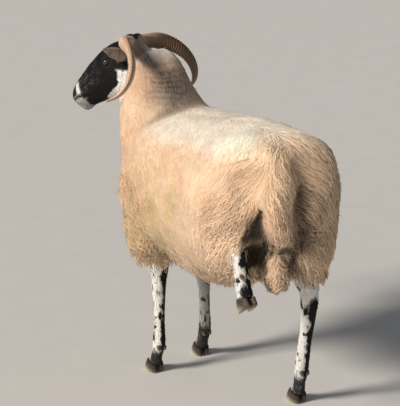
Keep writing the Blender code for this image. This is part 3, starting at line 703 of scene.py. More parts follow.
def wool_colour(points, normals):
    x, y, z = points.T
    colour = np.tile(CREAM, (len(points), 1))
    # Painted light: up-facing wool on the back is made paler.
    back = ramp(normals[:, 2], 0.66, 0.98) * ramp(z, 0.62, 0.74) * ramp(x, -0.40, -0.20)
    colour = blend_colour(colour, PAINTED_LIGHT_BACK, back)
    low = ramp(z, 0.60, 0.42) * 0.35
    colour = blend_colour(colour, TAN, 0.60 * chest_share(points))
    colour = blend_colour(colour, TAN, low * ramp(noise(points, 0.09, 3.1), -0.2, 0.8))
    colour = blend_colour(colour, TAN, 0.15 * ramp(-x, 0.30, 0.42))
    # Painted light: the wool on the left thigh is made lighter.
    colour *= (1 + THIGH_PAINTED_LIGHT * ramp(-x, 0.14, 0.24) * ramp(y, -0.02, 0.06))[:, None]
    patch = 0.60 * ramp(rough_noise(points, 0.075, 1.7), -0.05, 0.45)
    colour = blend_colour(colour, BLUSH, patch * ramp(z, 0.48, 0.56) * ramp(normals[:, 2], 0.95, 0.65))
    # Painted shadow: grey on the poll behind the horns and over the neck's wrinkled rear side.
    poll = np.exp(-(line_distance(points, POLL_SHADE)[0] / 0.034) ** 3)
    colour = blend_colour(colour, PAINTED_POLL_SHADOW, np.maximum(0.75 * poll, 0.50 * neck_ripple(points)[1]))
    for spot, reach in STAINS:
        stain = np.exp(-(((points - spot) / reach) ** 2).sum(axis=1))
        stain *= ramp(rough_noise(points, 0.030, 3.3), -0.5, 0.4)
        colour = blend_colour(colour, STAIN, 0.75 * stain)
    colour *= (1 + 0.10 * rough_noise(points, 0.050, 5.0) + 0.06 * noise(points, 0.015, 9.0))[:, None]
    # Painted shade in the rump's recesses and the neck's wrinkle valleys.
    return blend_colour(colour, PAINTED_SHADE_DARK, 0.92 * fold_shade(points))


def face_colour(points):
    along, out, up = skull_coordinates(points)
    out = np.abs(out)
    ragged = 0.006 * rough_noise(points, 0.010, 2.0)
    colour = np.tile(BLACK, (len(points), 1))
    # Grey roan over the nose's side, thicker towards the muzzle.
    roan = ramp(along, 0.095, 0.150) * ramp(along, 0.235, 0.205) * ramp(up, -0.040, -0.015)
    speckle = ramp(rough_noise(points, 0.0065, 4.0), 0.02, 0.40)
    colour = blend_colour(colour, GREY, roan * speckle * 0.8)
    fleck = ramp(rough_noise(points, 0.0045, 6.0), 0.48, 0.66)
    colour = blend_colour(colour, WHITE * 0.5, roan * fleck * 0.3)
    # White cheek behind the jaw, reaching forward along its lower edge.
    line = 0.057 + np.maximum(-up - 0.040, 0) + 0.055 * ramp(-up, 0.066, 0.076)
    notch = np.exp(-(((along - 0.088) / 0.013) ** 2 + ((up + 0.066) / 0.008) ** 2))
    cheek = ramp(line + ragged - along - 0.050 * notch, -0.003, 0.004)
    cheek *= ramp(points[:, 2] + ragged, CHEEK_TOP + 0.002, CHEEK_TOP - 0.003) * ramp(out, 0.010, 0.018)
    colour = blend_colour(colour, WHITE, cheek)
    # White streak behind the nostril, and a grey-white chin below the mouth.
    streak = np.exp(-((along - 0.212 + 0.15 * up + 0.5 * ragged) / 0.0075) ** 4) * ramp(out, 0.014, 0.020)
    streak *= ramp(up, 0.017, 0.010) * ramp(up, -0.024, -0.017)
    colour = blend_colour(colour, WHITE * 0.92, streak)
    mouth = -0.0245 - 0.62 * np.maximum(0.222 - along, 0)
    chin = ramp(along + 1.5 * ragged, 0.200, 0.214) * ramp(mouth - up, 0.001, 0.005)
    colour = blend_colour(colour, WHITE * 0.58, chin * (0.75 + 0.25 * noise(points, 0.006, 1.0)))
    lip = ramp(along + 2 * ragged, 0.200, 0.222)
    lip *= ramp(up - mouth, 0.012, 0.002) * ramp(up - mouth, 0.0, 0.002)
    colour = blend_colour(colour, WHITE * 0.35, lip * 0.8)
    mouth_line = np.exp(-((up - mouth) / 0.0026) ** 2) * ramp(along, 0.176, 0.190)
    colour = blend_colour(colour, BLACK, mouth_line * 0.9)
    pad = np.exp(-((along - 0.250) / 0.010) ** 2 - (out / 0.013) ** 2 - ((up + 0.014) / 0.012) ** 2)
    colour = blend_colour(colour, NOSE, ramp(pad, 0.3, 0.5))
    for eye in EYES.values():
        distance = np.linalg.norm(points - eye, axis=1)
        rim = np.exp(-((distance - 0.0175) / 0.0028) ** 2)
        colour = blend_colour(colour, GREY * 0.6, rim * 0.6)
    return colour


def ear_colour(points):
    colour = np.tile(EAR_BROWN, (len(points), 1))
    for side in (1, -1):
        base, aim, across, rise = ear_frame(side)
        away = points - base
        reach = away @ aim
        wide = away @ across
        lift = away @ rise
        here = (reach > -0.03) & (np.linalg.norm(away, axis=1) < 0.125)
        width = np.interp(reach, [row[0] for row in EAR], [row[1] for row in EAR])
        edge = ramp(np.abs(wide) / width, 0.70, 0.95) * here
        hollow = here * ramp(lift, 0.000, 0.006) * ramp(np.abs(wide) / width, 0.75, 0.45) * (reach < 0.085)
        colour = blend_colour(colour, EAR_HOLLOW, 0.7 * hollow)
        colour = blend_colour(colour, EAR_RIM, 0.8 * edge)
    patch = ramp(rough_noise(points, 0.011, 5.5), 0.10, 0.45)
    colour = blend_colour(colour, GREY, 0.55 * patch)
    colour *= (1 + 0.22 * rough_noise(points, 0.005, 3.0))[:, None]
    return colour


LOWER_BOX = {name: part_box(f"leg_{name}_lower") for name in LIMBS}


def leg_lines():
    """For each limb, heights and centres of its lower leg, from the solid's own slices."""
    lines = {}
    for name in LIMBS:
        points = mesh_points(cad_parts[f"leg_{name}_lower"].data)
        low, high = points[:, 2].min(), points[:, 2].max()
        levels = np.linspace(low + 0.004, high - 0.004, 9)
        reach = (high - low) / 7
        centres = []
        for level in levels:
            near = points[np.abs(points[:, 2] - level) < reach]
            centres.append((near[:, :2].min(axis=0) + near[:, :2].max(axis=0)) / 2)
        lines[name] = (levels, np.array(centres))
    return lines


LEG_LINES = leg_lines()
# The direction, in degrees from +X towards +Y, that the legs' black side faces. For each limb: how far that
# black reaches over the leg, from -1 none to 1 all; the height below which it is dark; how bright its
# white is, where the front right leg's lower value is painted shade from the body; and the height above
# which no black shows.
BLACK_FACES = 238.0
LEG_MARKS = {
    "fore_left": (-0.50, 0.070, 1.00, 0.36),
    "fore_right": (-0.76, 0.105, 0.50, 0.33),
    "hind_right": (-0.16, 0.085, 1.00, 0.325),
    "hind_left": (0.00, 0.0, 1.00, 0.60),
}


def limb_angle(points, name):
    levels, centres = LEG_LINES[name]
    middle = np.stack([np.interp(points[:, 2], levels, centres[:, c]) for c in (0, 1)], axis=1)
    away = points[:, :2] - middle
    return away, np.degrees(np.arctan2(away[:, 1], away[:, 0])) % 360


def leg_colour(points, name):
    reach, dark_below, light, plain_above = LEG_MARKS[name]
    away, _ = limb_angle(points, name)
    heading = np.array((math.cos(math.radians(BLACK_FACES)), math.sin(math.radians(BLACK_FACES))))
    toward = unit(away) @ heading
    levels, centres = LEG_LINES[name]
    foot_end = LOWER_BOX[name][0].z
    ragged = 0.50 * rough_noise(points, 0.017, 12.0) + 0.12 * noise(points, 0.006, 2.0)
    # The white is darkened by each limb's own factor: on the front right leg, as painted shade.
    colour = np.tile(WHITE * light, (len(points), 1))
    black = ramp(toward + ragged, -reach - 0.06, -reach + 0.06)
    black *= ramp(points[:, 2] + 0.06 * ragged, plain_above + 0.006, plain_above - 0.006)
    spots = ramp(noise(points, 0.013, 17.0 + 3 * len(name)), 0.44, 0.56)
    spots = np.maximum(spots, ramp(noise(points, 0.0085, 31.0), 0.62, 0.72) * 0.8)
    shin = ramp(points[:, 2], foot_end + 0.02, foot_end + 0.05)
    pale_front = ramp(points[:, 0] - np.interp(points[:, 2], levels, centres[:, 0]), 0.006, 0.012)
    border = 0.012 * rough_noise(points, 0.015, 4.0)
    foot = ramp(points[:, 2] + border, dark_below + 0.008, dark_below - 0.008)
    colour = blend_colour(colour, BLACK * 1.3, np.maximum(black, spots * shin))
    colour = blend_colour(colour, GREY * 0.55, foot * (1 - 0.7 * pale_front))
    roan = ramp(rough_noise(points, 0.010, 21.0), 0.1, 0.5) * foot
    colour = blend_colour(colour, WHITE * 0.5, roan * 0.30)
    return colour


def hide_colour(points, normals, wool, ear, owner):
    """The coat's colour at points of the skin: markings shared by the skin and every tuft, and painted light
    and shade.
    """
    colour = face_colour(points)
    for name in LIMBS:
        mine = np.isin(owner, [FLESH.index(f"leg_{name}_{part}") for part in ("lower", "upper")])
        colour[mine] = leg_colour(points[mine], name)
    colour = blend_colour(colour, ear_colour(points), ramp(ear, 0.3, 0.8))
    # Painted shade in the rump's hollow, fold and tail gap.
    colour = blend_colour(colour, PAINTED_SHADE_DARK, fold_shade(points) * (points[:, 0] < -RUMP_START))
    colour = blend_colour(colour, wool_colour(points, normals), ramp(wool, 0.35, 0.65))
    return np.clip(colour, 0.004, 0.95)


# ================================================================ roots on the skin
skin_points = mesh_points(skin_mesh)
skin_normals = mesh_normals(skin_mesh)
skin_wool = read_floats(skin_mesh, "wool")
skin_ear = read_floats(skin_mesh, "ear")
skin_owner = nearest_nodes(skin_points + skin_normals * (fleece_depth(skin_points) * skin_wool)[:, None])
skin_colour = hide_colour(skin_points, skin_normals, skin_wool, skin_ear, skin_owner)
# Painted shade: the skin under the wool is darker, the more so under curled wool.
skin_shade = 1 - (0.03 + 0.20 * curled(skin_points)) * ramp(skin_wool, 0.3, 0.9)
paint(skin_mesh, skin_colour * skin_shade[:, None], 0.0, 1.0)

skin_mesh.calc_loop_triangles()
TRIANGLES = np.empty(len(skin_mesh.loop_triangles) * 3, np.int32)
skin_mesh.loop_triangles.foreach_get("vertices", TRIANGLES)
TRIANGLES = TRIANGLES.reshape(-1, 3)
SKIN_TREE = BVHTree.FromPolygons(skin_points.tolist(), TRIANGLES.tolist())
FACE_WOOL = skin_wool[TRIANGLES].mean(axis=1)
FACE_EAR = skin_ear[TRIANGLES].mean(axis=1)


CELL_CODES = (73856093, 19349663, 83492791, 2654435761)


def cell_code(keys, level):
    """One number for each small cell of space and its level."""
    a, b, c, d = CELL_CODES
    return (keys[:, 0] * a) ^ (keys[:, 1] * b) ^ (keys[:, 2] * c) ^ (level * d)


def scatter(weights, count, seed):
    """About count points on the skin, spread evenly for the given weight per triangle."""
    rng = np.random.default_rng(seed)
    corners = skin_points[TRIANGLES]
    first_edge = corners[:, 1] - corners[:, 0]
    second_edge = corners[:, 2] - corners[:, 0]
    areas = 0.5 * np.linalg.norm(np.cross(first_edge, second_edge), axis=1)
    chance = areas * weights
    spacing = math.sqrt(chance.sum() / count)
    tries = int(count * 5)
    face = rng.choice(len(chance), tries, p=chance / chance.sum())
    a, b = rng.random((2, tries))
    flip = a + b > 1
    a[flip], b[flip] = 1 - a[flip], 1 - b[flip]
    spots = corners[face, 0] + a[:, None] * first_edge[face] + b[:, None] * second_edge[face]
    # One root is kept in each small cell, whose size follows the weight.
    size = spacing / np.sqrt(np.maximum(weights[face], 1e-3))
    level = np.round(np.log2(size / spacing) * 3) / 3
    cell = spacing * 2.0 ** level * 0.92
    keys = np.floor(spots / cell[:, None]).astype(np.int64)
    code = cell_code(keys, np.round(level * 3).astype(np.int64))
    _, first = np.unique(code, return_index=True)
    rng.shuffle(first)
    first = first[:count]
    share = np.stack([1 - a - b, a, b], axis=1)[first]
    picked = TRIANGLES[face[first]]
    return {
        "root": spots[first],
        "normal": unit((skin_normals[picked] * share[..., None]).sum(axis=1)),
        "wool": (skin_wool[picked] * share).sum(axis=1),
        "ear": (skin_ear[picked] * share).sum(axis=1),
        "colour": (skin_colour[picked] * share[..., None]).sum(axis=1),
        "owner": skin_owner[picked[:, 0]],
        "rng": rng,
    }


def on_surface(points):
    """Nearest places on the skin, and its normals there."""
    spots = np.empty_like(points)
    normals = np.empty_like(points)
    for i, point in enumerate(points.tolist()):
        place, normal, _, _ = SKIN_TREE.find_nearest(point)
        spots[i] = place
        normals[i] = normal
    return spots, normals


# The tail's root, from which the rump's locks run out, and the angle from one lock to the next.
SWIRL = np.array((-0.410, 0.105, 0.705))
LOCK_TURN = 0.085


def wool_flow(points, normals):
    """The way the fleece lies: back and down, out from the spine, and away from the tail's root."""
    x, y, z = points.T
    aside = np.tanh((y - spine_y(x)) / 0.040)
    top = ramp(normals[:, 2], 0.35, 0.9)
    front = ramp(x, 0.18, 0.30)
    flow = np.zeros_like(points)
    flow[:, 0] = -0.55 + 0.85 * front * ramp(z, 0.75, 0.60)
    flow[:, 1] = 0.65 * aside * top
    flow[:, 2] = -0.95 + 0.5 * top
    # The rump's locks fall like a fountain from the tail's root, down and outwards.
    rump = ramp(-x, 0.10, 0.24) * (1 - top)
    away = (points - SWIRL) * (1.0, 1.0, 0.0)
    spread = np.linalg.norm(away, axis=1)
    aslant = 1.10 * ramp(spread, 0.0, 0.06) * (1 - 0.60 * ramp(spread, 0.10, 0.24))
    fountain = unit(away) * aslant[:, None] + np.array((0.0, 0.0, -1.0))
    flow = flow * (1 - rump)[:, None] + fountain * rump[:, None]
    turn = (0.34 - 0.18 * rump) * rough_noise(points, 0.085, 2.2)
    return flow, turn


def hair_flow(points, _):
    """Short hair: back from the muzzle, up and out over the ears, down the legs."""
    along, out, up = skull_coordinates(points)
    flow = np.tile((0.0, 0.0, -1.0), (len(points), 1))
    on_head = (along > -0.06) & (along < 0.30) & (np.abs(out) < 0.16) & (np.abs(up) < 0.17)
    flow[on_head] = -SKULL_AXIS - 0.35 * SKULL_UP
    for side in (1, -1):
        base, aim, _, _ = ear_frame(side)
        away = points - base
        on_ear = (away @ aim > 0.006) & (np.linalg.norm(away, axis=1) < 0.125) & on_head
        flow[on_ear] = aim
    return flow, 0.35 * rough_noise(points, 0.02, 4.2)


def tangent_lie(normals, flow, turn):
    """The flow laid flat on the skin, and turned about the way out of it."""
    flow = unit(flow - (flow * normals).sum(axis=1, keepdims=True) * normals)
    across = np.cross(normals, flow)
    return flow * np.cos(turn)[:, None] + across * np.sin(turn)[:, None]


def unwrap(points, kind):
    """Where points of the skin lie on a flat unwrap of its own shape, within the unit square."""
    if kind == "head":
        along, out, up = skull_coordinates(points)
        first = np.arctan2(out, up + 0.03) / (2 * math.pi) + 0.5
        second = along
    elif kind == "ear":
        along, out, up = skull_coordinates(points)
        first = out + np.sign(out) * 0.2 + 0.6 * up
        second = along - 0.4 * up
    elif kind == "legs":
        first = np.zeros(len(points))
        gaps = np.stack([np.linalg.norm(limb_angle(points, name)[0], axis=1) for name in LIMBS])
        which = gaps.argmin(axis=0)
        for index, name in enumerate(LIMBS):
            mine = which == index
            first[mine] = index + limb_angle(points[mine], name)[1] / 365
        second = points[:, 2]
    else:
        middle = 0.56
        first = np.arctan2(points[:, 1] - spine_y(points[:, 0]), points[:, 2] - middle)
        second = points[:, 0] + 0.35 * points[:, 2]
    flat = np.stack([first, second], axis=1)
    low, high = flat.min(axis=0), flat.max(axis=0)
    return 0.006 + 0.985 * (flat - low) / np.maximum(high - low, 1e-6)


def catmull(table, share):
    """Points at shares 0 to 1 along curves. Table is curves by knots by 3."""
    knots = table.shape[1]
    before = 2 * table[:, :1] - table[:, 1:2]
    after = 2 * table[:, -1:] - table[:, -2:-1]
    padded = np.concatenate([before, table, after], axis=1)
    spot = np.clip(share * (knots - 1), 0, knots - 1 - 1e-9)
    i = np.floor(spot).astype(int)
    t = (spot - i)[None, :, None]
    a, b, c, d = (padded[:, i + k] for k in range(4))
    return 0.5 * (2 * b + (c - a) * t + (2 * a - 5 * b + 4 * c - d) * t * t
                  + (3 * b - a - 3 * c + d) * t ** 3)


# A strand's sides, the places where its path is laid on the skin, and its width along its length.
STRAND_SIDES = 3
STRAND_KNOTS = 4
TAPER_AT = (0.0, 0.25, 0.6, 0.85, 1.0)
TAPER = (0.75, 1.0, 0.90, 0.55, 0.06)


def strand_lines(roots, style, share):
    """Every strand's middle line at shares of its length, and the way out of the skin there."""
    length = style["length"]
    step = (length / (STRAND_KNOTS - 1))[:, None]
    spots = [roots["root"]]
    normals = [roots["normal"]]
    lies = []
    for _ in range(STRAND_KNOTS - 1):
        flow, turn = style["flow"](spots[-1], normals[-1])
        lies.append(tangent_lie(normals[-1], flow, turn + style["turn"]))
        place, normal = on_surface(spots[-1] + lies[-1] * step)
        spots.append(place)
        normals.append(unit(normal + normals[-1] * 0.5))
    path = catmull(np.stack(spots, axis=1), share)
    upward = unit(catmull(np.stack(normals, axis=1), share))
    hang = style["hang"][:, None, None]
    if hang.max() > 0:
        drop = unit(0.45 * lies[0] + 0.25 * roots["normal"] + np.array((0, 0, -1.0)))
        free = roots["root"][:, None, :] + (share[:, None] * length[:, None, None]) * drop[:, None, :]
        bend = hang * share[:, None] ** 0.7
        path = path * (1 - bend) + free * bend
    rise = style["height"][:, None] * (1 - (1 - share) ** style["lift"][:, None]) - style["sink"]
    side_way = unit(np.cross(upward, np.gradient(path, axis=1)))
    angle = 2 * math.pi * style["turns"][:, None] * share + style["phase"][:, None]
    swell = style["wave"][:, None] * np.clip(share * 3.0, 0, 1)
    outwards = upward * (rise + 0.55 * swell * np.cos(angle))[..., None]
    sideways = side_way * (swell * np.sin(angle))[..., None]
    pull = style["pull"][:, None, :] * (share[:, None] ** 1.6)
    return path + outwards + sideways + pull, upward


def per_point(rows):
    """Spreads values per ring over the points of each ring and the tip."""
    return np.concatenate([np.repeat(rows[:, :-1], STRAND_SIDES, axis=1), rows[:, -1:]], axis=1)


def strand_faces(rings):
    """One strand's faces, quads between rings and then a point: all their corners, where each corner
    lies on the strand's own flat square, and how many corners each face has."""
    sides = STRAND_SIDES
    last = rings - 2
    corners = []
    flat = []
    sizes = []
    for r in range(last):
        for s in range(sides):
            t = (s + 1) % sides
            corners += [r * sides + s, r * sides + t, (r + 1) * sides + t, (r + 1) * sides + s]
            flat += [(s, r), (s + 1, r), (s + 1, r + 1), (s, r + 1)]
            sizes.append(4)
    for s in range(sides):
        corners += [last * sides + s, last * sides + (s + 1) % sides, (last + 1) * sides]
        flat += [(s, last), (s + 1, last), (s + 0.5, rings)]
        sizes.append(3)
    return np.array(corners), np.array(flat) / (sides, rings), np.array(sizes)


def strand_mesh(name, points, corners, sizes):
    """A mesh of like strands. Points is strands by points by 3, the faces are one strand's."""
    count, per = points.shape[:2]
    loops = (np.arange(count)[:, None] * per + corners).ravel()
    totals = np.tile(sizes, count)
    starts = np.concatenate([[0], np.cumsum(totals)[:-1]])
    mesh = bpy.data.meshes.new(name)
    mesh.vertices.add(count * per)
    mesh.vertices.foreach_set("co", points.astype(np.float32).ravel())
    mesh.loops.add(len(loops))
    mesh.loops.foreach_set("vertex_index", loops.astype(np.int32))
    mesh.polygons.add(len(totals))
    mesh.polygons.foreach_set("loop_start", starts.astype(np.int32))
    mesh.polygons.foreach_set("loop_total", totals.astype(np.int32))
    mesh.update(calc_edges=True)
    mesh.validate()
    return mesh


def grow(name, roots, style, material, slot, chart, rings):
    """One piece of coat: a tapering, waving strand of solid mesh from each root."""
    count = len(roots["root"])
    sides = STRAND_SIDES
    body = rings - 1
    share = np.linspace(0, 1, rings) ** 0.9
    centre, upward = strand_lines(roots, style, share)
    tangent = unit(np.gradient(centre, axis=1))
    side_way = unit(np.cross(upward, tangent))
    over = np.cross(tangent, side_way)
    radius = style["width"][:, None] * np.interp(share, TAPER_AT, TAPER)
    points = np.empty((count, body * sides + 1, 3))
    shading = np.empty_like(points)
    softness = style["softness"]
    for s in range(sides):
        theta = 2 * math.pi * s / sides + style["roll"][:, None]
        wide = side_way[:, :body] * (np.cos(theta) * radius[:, :body])[..., None]
        deep = over[:, :body] * (np.sin(theta) * radius[:, :body] * style["flat"])[..., None]
        points[:, s:body * sides:sides] = centre[:, :body] + wide + deep
        facing = side_way[:, :body] * np.cos(theta)[..., None] + over[:, :body] * np.sin(theta)[..., None]
        shading[:, s:body * sides:sides] = unit(facing) * (1 - softness) + upward[:, :body] * softness
    points[:, -1] = centre[:, -1]
    shading[:, -1] = upward[:, -1]
    corners, flat, sizes = strand_faces(rings)
    mesh = strand_mesh(name, points, corners, sizes)
    place = unwrap(roots["root"], chart)[:, None, :] + (flat - 0.5) * PATCH
    mesh.uv_layers.new(name="OFBake").data.foreach_set("uv", place.astype(np.float32).ravel())
    # Painted shade: each strand darkens towards its root.
    shade = style["root_shade"] + (1 - style["root_shade"]) * per_point(share[None]) ** 0.7
    colour = roots["colour"][:, None, :] * shade[..., None] * style["tone"][:, None, None]
    # Painted shade on the parts of wool strands lying in the rump's recesses and the neck's wrinkle valleys.
    if slot == "fleece":
        painted_shade = per_point(fold_shade(centre.reshape(-1, 3)).reshape(count, rings))
        colour = colour + (PAINTED_SHADE_DARK - colour) * painted_shade[..., None]
    paint(mesh, colour.reshape(-1, 3), 0.003, 0.95)
    obj = new_object(name, mesh)
    smooth_shaded(obj)
    # Wool scatters light like one soft surface, so its shading leans towards the body's own normals.
    mesh.normals_split_custom_set_from_vertices(unit(shading).reshape(-1, 3))
    obj.data.materials.append(material)
    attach(obj, "root")
    return obj


# ================================================================ materials
def new_material(name, roughness, sheen=0.0, specular=0.5):
    made = bpy.data.materials.new(name)
    made.use_nodes = True
    shader = made.node_tree.nodes["Principled BSDF"]
    shader.inputs["Roughness"].default_value = roughness
    shader.inputs["Sheen Weight"].default_value = sheen
    shader.inputs["Sheen Roughness"].default_value = 0.6
    shader.inputs["Specular IOR Level"].default_value = specular
    return made, made.node_tree, shader


def noise_node(tree, scale, detail=4.0):
    place = tree.nodes.new("ShaderNodeTexCoord")
    made = tree.nodes.new("ShaderNodeTexNoise")
    made.inputs["Scale"].default_value = scale
    made.inputs["Detail"].default_value = detail
    made.inputs["Roughness"].default_value = 0.6
    tree.links.new(place.outputs["Object"], made.inputs["Vector"])
    return made


def tinted(tree, source, amount, scale):
    """The source colour, darkened and lightened a little by fine noise."""
    grain = noise_node(tree, scale)
    spread = tree.nodes.new("ShaderNodeMapRange")
    spread.inputs["From Min"].default_value = 0.3
    spread.inputs["From Max"].default_value = 0.7
    spread.inputs["To Min"].default_value = 1 - amount
    spread.inputs["To Max"].default_value = 1 + amount
    scaled = tree.nodes.new("ShaderNodeVectorMath")
    scaled.operation = "SCALE"
    tree.links.new(grain.outputs["Fac"], spread.inputs["Value"])
    tree.links.new(source, scaled.inputs[0])
    tree.links.new(spread.outputs["Result"], scaled.inputs["Scale"])
    return scaled.outputs["Vector"]


def add_bump(tree, shader, scale, distance):
    grain = noise_node(tree, scale, 3.0)
    bump = tree.nodes.new("ShaderNodeBump")
    bump.inputs["Distance"].default_value = distance
    bump.inputs["Strength"].default_value = 1.0
    tree.links.new(grain.outputs["Fac"], bump.inputs["Height"])
    tree.links.new(bump.outputs["Normal"], shader.inputs["Normal"])


def coloured(name, roughness, sheen, amount, scale, specular, bump=None):
    """A material that shows the stored colours, with grain of the given amount and scale."""
    made, tree, shader = new_material(name, roughness, sheen, specular)
    source = tree.nodes.new("ShaderNodeAttribute")
    source.attribute_name = "tint"
    tree.links.new(tinted(tree, source.outputs["Color"], amount, scale), shader.inputs["Base Color"])
    if bump:
        add_bump(tree, shader, *bump)
    return made


WOOL = coloured("wool", roughness=0.95, sheen=0.10, amount=0.10, scale=140.0, specular=0.10)
HAIR = coloured("short_hair", roughness=0.75, sheen=0.02, amount=0.18, scale=500.0, specular=0.18)
HIDE = coloured("hide", roughness=0.85, sheen=0.02, amount=0.15, scale=600.0, specular=0.04,
                bump=(900.0, 0.0012))
KERATIN = coloured("horn_sheath", roughness=0.42, sheen=0.0, amount=0.14, scale=220.0, specular=0.5,
                   bump=(160.0, 0.0010))
HOOF = coloured("hoof_wall", roughness=0.48, sheen=0.0, amount=0.16, scale=260.0, specular=0.4,
                bump=(240.0, 0.0010))
EYE = coloured("eye_wet", roughness=0.06, sheen=0.0, amount=0.20, scale=900.0, specular=0.6)
EYE.node_tree.nodes["Principled BSDF"].inputs["Coat Weight"].default_value = 0.6
EYE.node_tree.nodes["Principled BSDF"].inputs["Coat Roughness"].default_value = 0.04

SKIN.name = "hide_skin"
SKIN.data.name = "hide_skin"
SKIN.data.materials.clear()
SKIN.data.materials.append(HIDE)
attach(SKIN, "root")
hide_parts(*WOOLLY, *HAIRY, "ear_left", "ear_right")


# ================================================================ the fleece
def by_owner(roots, *nodes):
    chosen = [FLESH.index(node) for node in nodes]
    return np.isin(roots["owner"], chosen)


def subset(roots, mask):
    return {key: value[mask] if isinstance(value, np.ndarray) else value for key, value in roots.items()}


def mixed(base, rows):
    """A number per root: base, overridden in turn by (share, value) rows."""
    total = np.full(len(rows[0][0]), base, float)
    for share, value in rows:
        total += (value - total) * share
    return total


def staples(points, spacing):
    """Groups roots into staples: an index for each root, and the middle of its group."""
    size = np.asarray(spacing)[:, None]
    warped = points + 10 + 0.35 * size * np.sin(points[:, [1, 2, 0]] * 70)
    level = np.round(np.log2(size[:, 0] / 0.01) * 2).astype(np.int64)
    keys = np.floor(warped / (0.01 * 2.0 ** (level / 2))[:, None]).astype(np.int64)
    _, group, counts = np.unique(cell_code(keys, level), return_inverse=True, return_counts=True)
    middle = np.stack([np.bincount(group, points[:, c]) for c in range(3)], axis=1) / counts[:, None]
    return group, middle[group], len(counts)


def lock_ridge(points):
    """The rump's rounded locks run out from the tail's root: 1 along a lock's middle, 0 between two."""
    away = points - SWIRL
    place = np.arctan2(away[:, 1], away[:, 0]) % (2 * math.pi) / LOCK_TURN + 0.9 * noise(points, 0.070, 4.4)
    return 1 - (2 * (place - np.floor(place)) - 1) ** 2


def wool_style(roots):
    """Length, curl, height and lie of every lock, from where on the body it grows. The random draws run in
    the order they are written in."""
    points = roots["root"]
    normals = roots["normal"]
    rng = roots["rng"]
    count = len(points)
    x, _, z = points.T
    top = ramp(normals[:, 2], 0.35, 0.85)
    under = ramp(-normals[:, 2], 0.30, 0.80)
    chest = chest_share(points)
    rump = ramp(-x + 0.35 * (0.60 - z), 0.14, 0.28)
    neck = by_owner(roots, "neck") * 1.0
    tail = by_owner(roots, "tail") * 1.0
    bag = by_owner(roots, "scrotum") * 1.0
    limb = by_owner(roots, *UPPER_LEGS) * 1.0
    fore = limb * (x > 0)
    edge = ramp(z, 0.46, 0.39) * (1 - bag)
    tight = curled(points)
    length = mixed(0.040, [(top, 0.036), (tight, 0.050), (rump, 0.074), (chest, 0.036), (under, 0.046),
                           (neck, 0.028), (limb, 0.050), (fore, 0.038), (tail, 0.060), (bag, 0.034)])
    width = mixed(0.0027, [(tight, 0.0026)])
    wave = mixed(0.0004, [(tight, 0.0024), (rump, 0.0016), (chest, 0.0040), (under, 0.0034), (neck, 0.0006),
                          (bag, 0.0030)])
    turns = mixed(0.8, [(tight, 2.3), (rump, 3.2), (neck, 1.0), (tail, 3.2), (bag, 2.4)])
    height = mixed(0.0062, [(tight, 0.0140), (tail, 0.0120)])
    hang = mixed(0.0, [(edge, 0.35), (under * tight, 0.45), (limb * ramp(z, 0.44, 0.38), 0.55), (tail, 0.20),
                       (bag, 0.0)])
    meet = mixed(0.0, [(tight, 0.60), (rump, 0.30), (bag, 0.60)])
    spacing = mixed(0.014, [(rump, 0.011), (chest, 0.015), (under, 0.017), (limb, 0.014), (neck, 0.014)])
    group, middle, groups = staples(points, spacing)
    bare = ramp(roots["wool"], 0.45, 0.95)
    # In the crimped wool, long top locks lie over a lower layer, which is painted darker as shade.
    over = rng.random(count) < 0.36
    layer = np.where(over, rng.uniform(0.96, 1.12, count), rng.uniform(0.60, 0.88, count))
    level = mixed(1.0, [(tight, layer)]) * rng.uniform(0.90, 1.06, count)
    shared_size = rng.uniform(0.88, 1.14, groups)[group]
    length *= (0.45 + 0.55 * bare) * shared_size * rng.uniform(0.88, 1.10, count) * (1 + 0.10 * over * tight)
    height *= (0.25 + 0.75 * bare) * level * (1 + 0.45 * over * chest)
    width *= (0.65 + 0.35 * bare) * rng.uniform(0.80, 1.22, count) * (1 + 0.12 * over * tight)
    ridge = 1 - (1 - lock_ridge(points)) * rump * (1 - bag)
    height *= 0.62 + 0.42 * ridge
    stray = rng.normal(0, 0.0016, (groups, 3))[group] * meet[:, None]
    crimp = 6.0 * rough_noise(points, 0.060, 6.6)
    return {
        "length": length,
        "turn": rng.normal(0, 0.12, groups)[group] * tight + rng.normal(0, 0.09 + 0.05 * (1 - tight), count),
        "hang": hang,
        "height": height,
        "lift": mixed(5.0, [(tight, 4.6), (under, 2.4)]),
        "turns": turns * rng.uniform(0.93, 1.07, groups)[group],
        "phase": crimp + rng.uniform(0, 2.6, groups)[group] + rng.normal(0, 0.40, count),
        "wave": wave * rng.uniform(0.8, 1.2, count),
        "pull": (middle - points) * meet[:, None] + stray,
        "width": width,
        "roll": math.pi / 2 + rng.normal(0, 0.35, count),
        "softness": (0.72 - 0.24 * tight)[:, None, None],
        # Painted shade towards the roots, deeper in curled and crimped wool.
        "root_shade": (0.80 - 0.13 * tight)[:, None],
        # Tone: random per staple and per lock, with painted shade on the lower layer and between the rump's
        # locks.
        "tone": np.clip(
            (1 + rng.normal(0, 1, groups)[group] * (0.040 + 0.060 * chest)) * rng.normal(1, 0.045, count)
            * (1 - 0.12 * tight * ~over) * (0.80 + 0.20 * ridge), 0.6, 1.2),
    }


WOOL_COMMON = {"flow": wool_flow, "sink": 0.0015, "flat": 0.50}
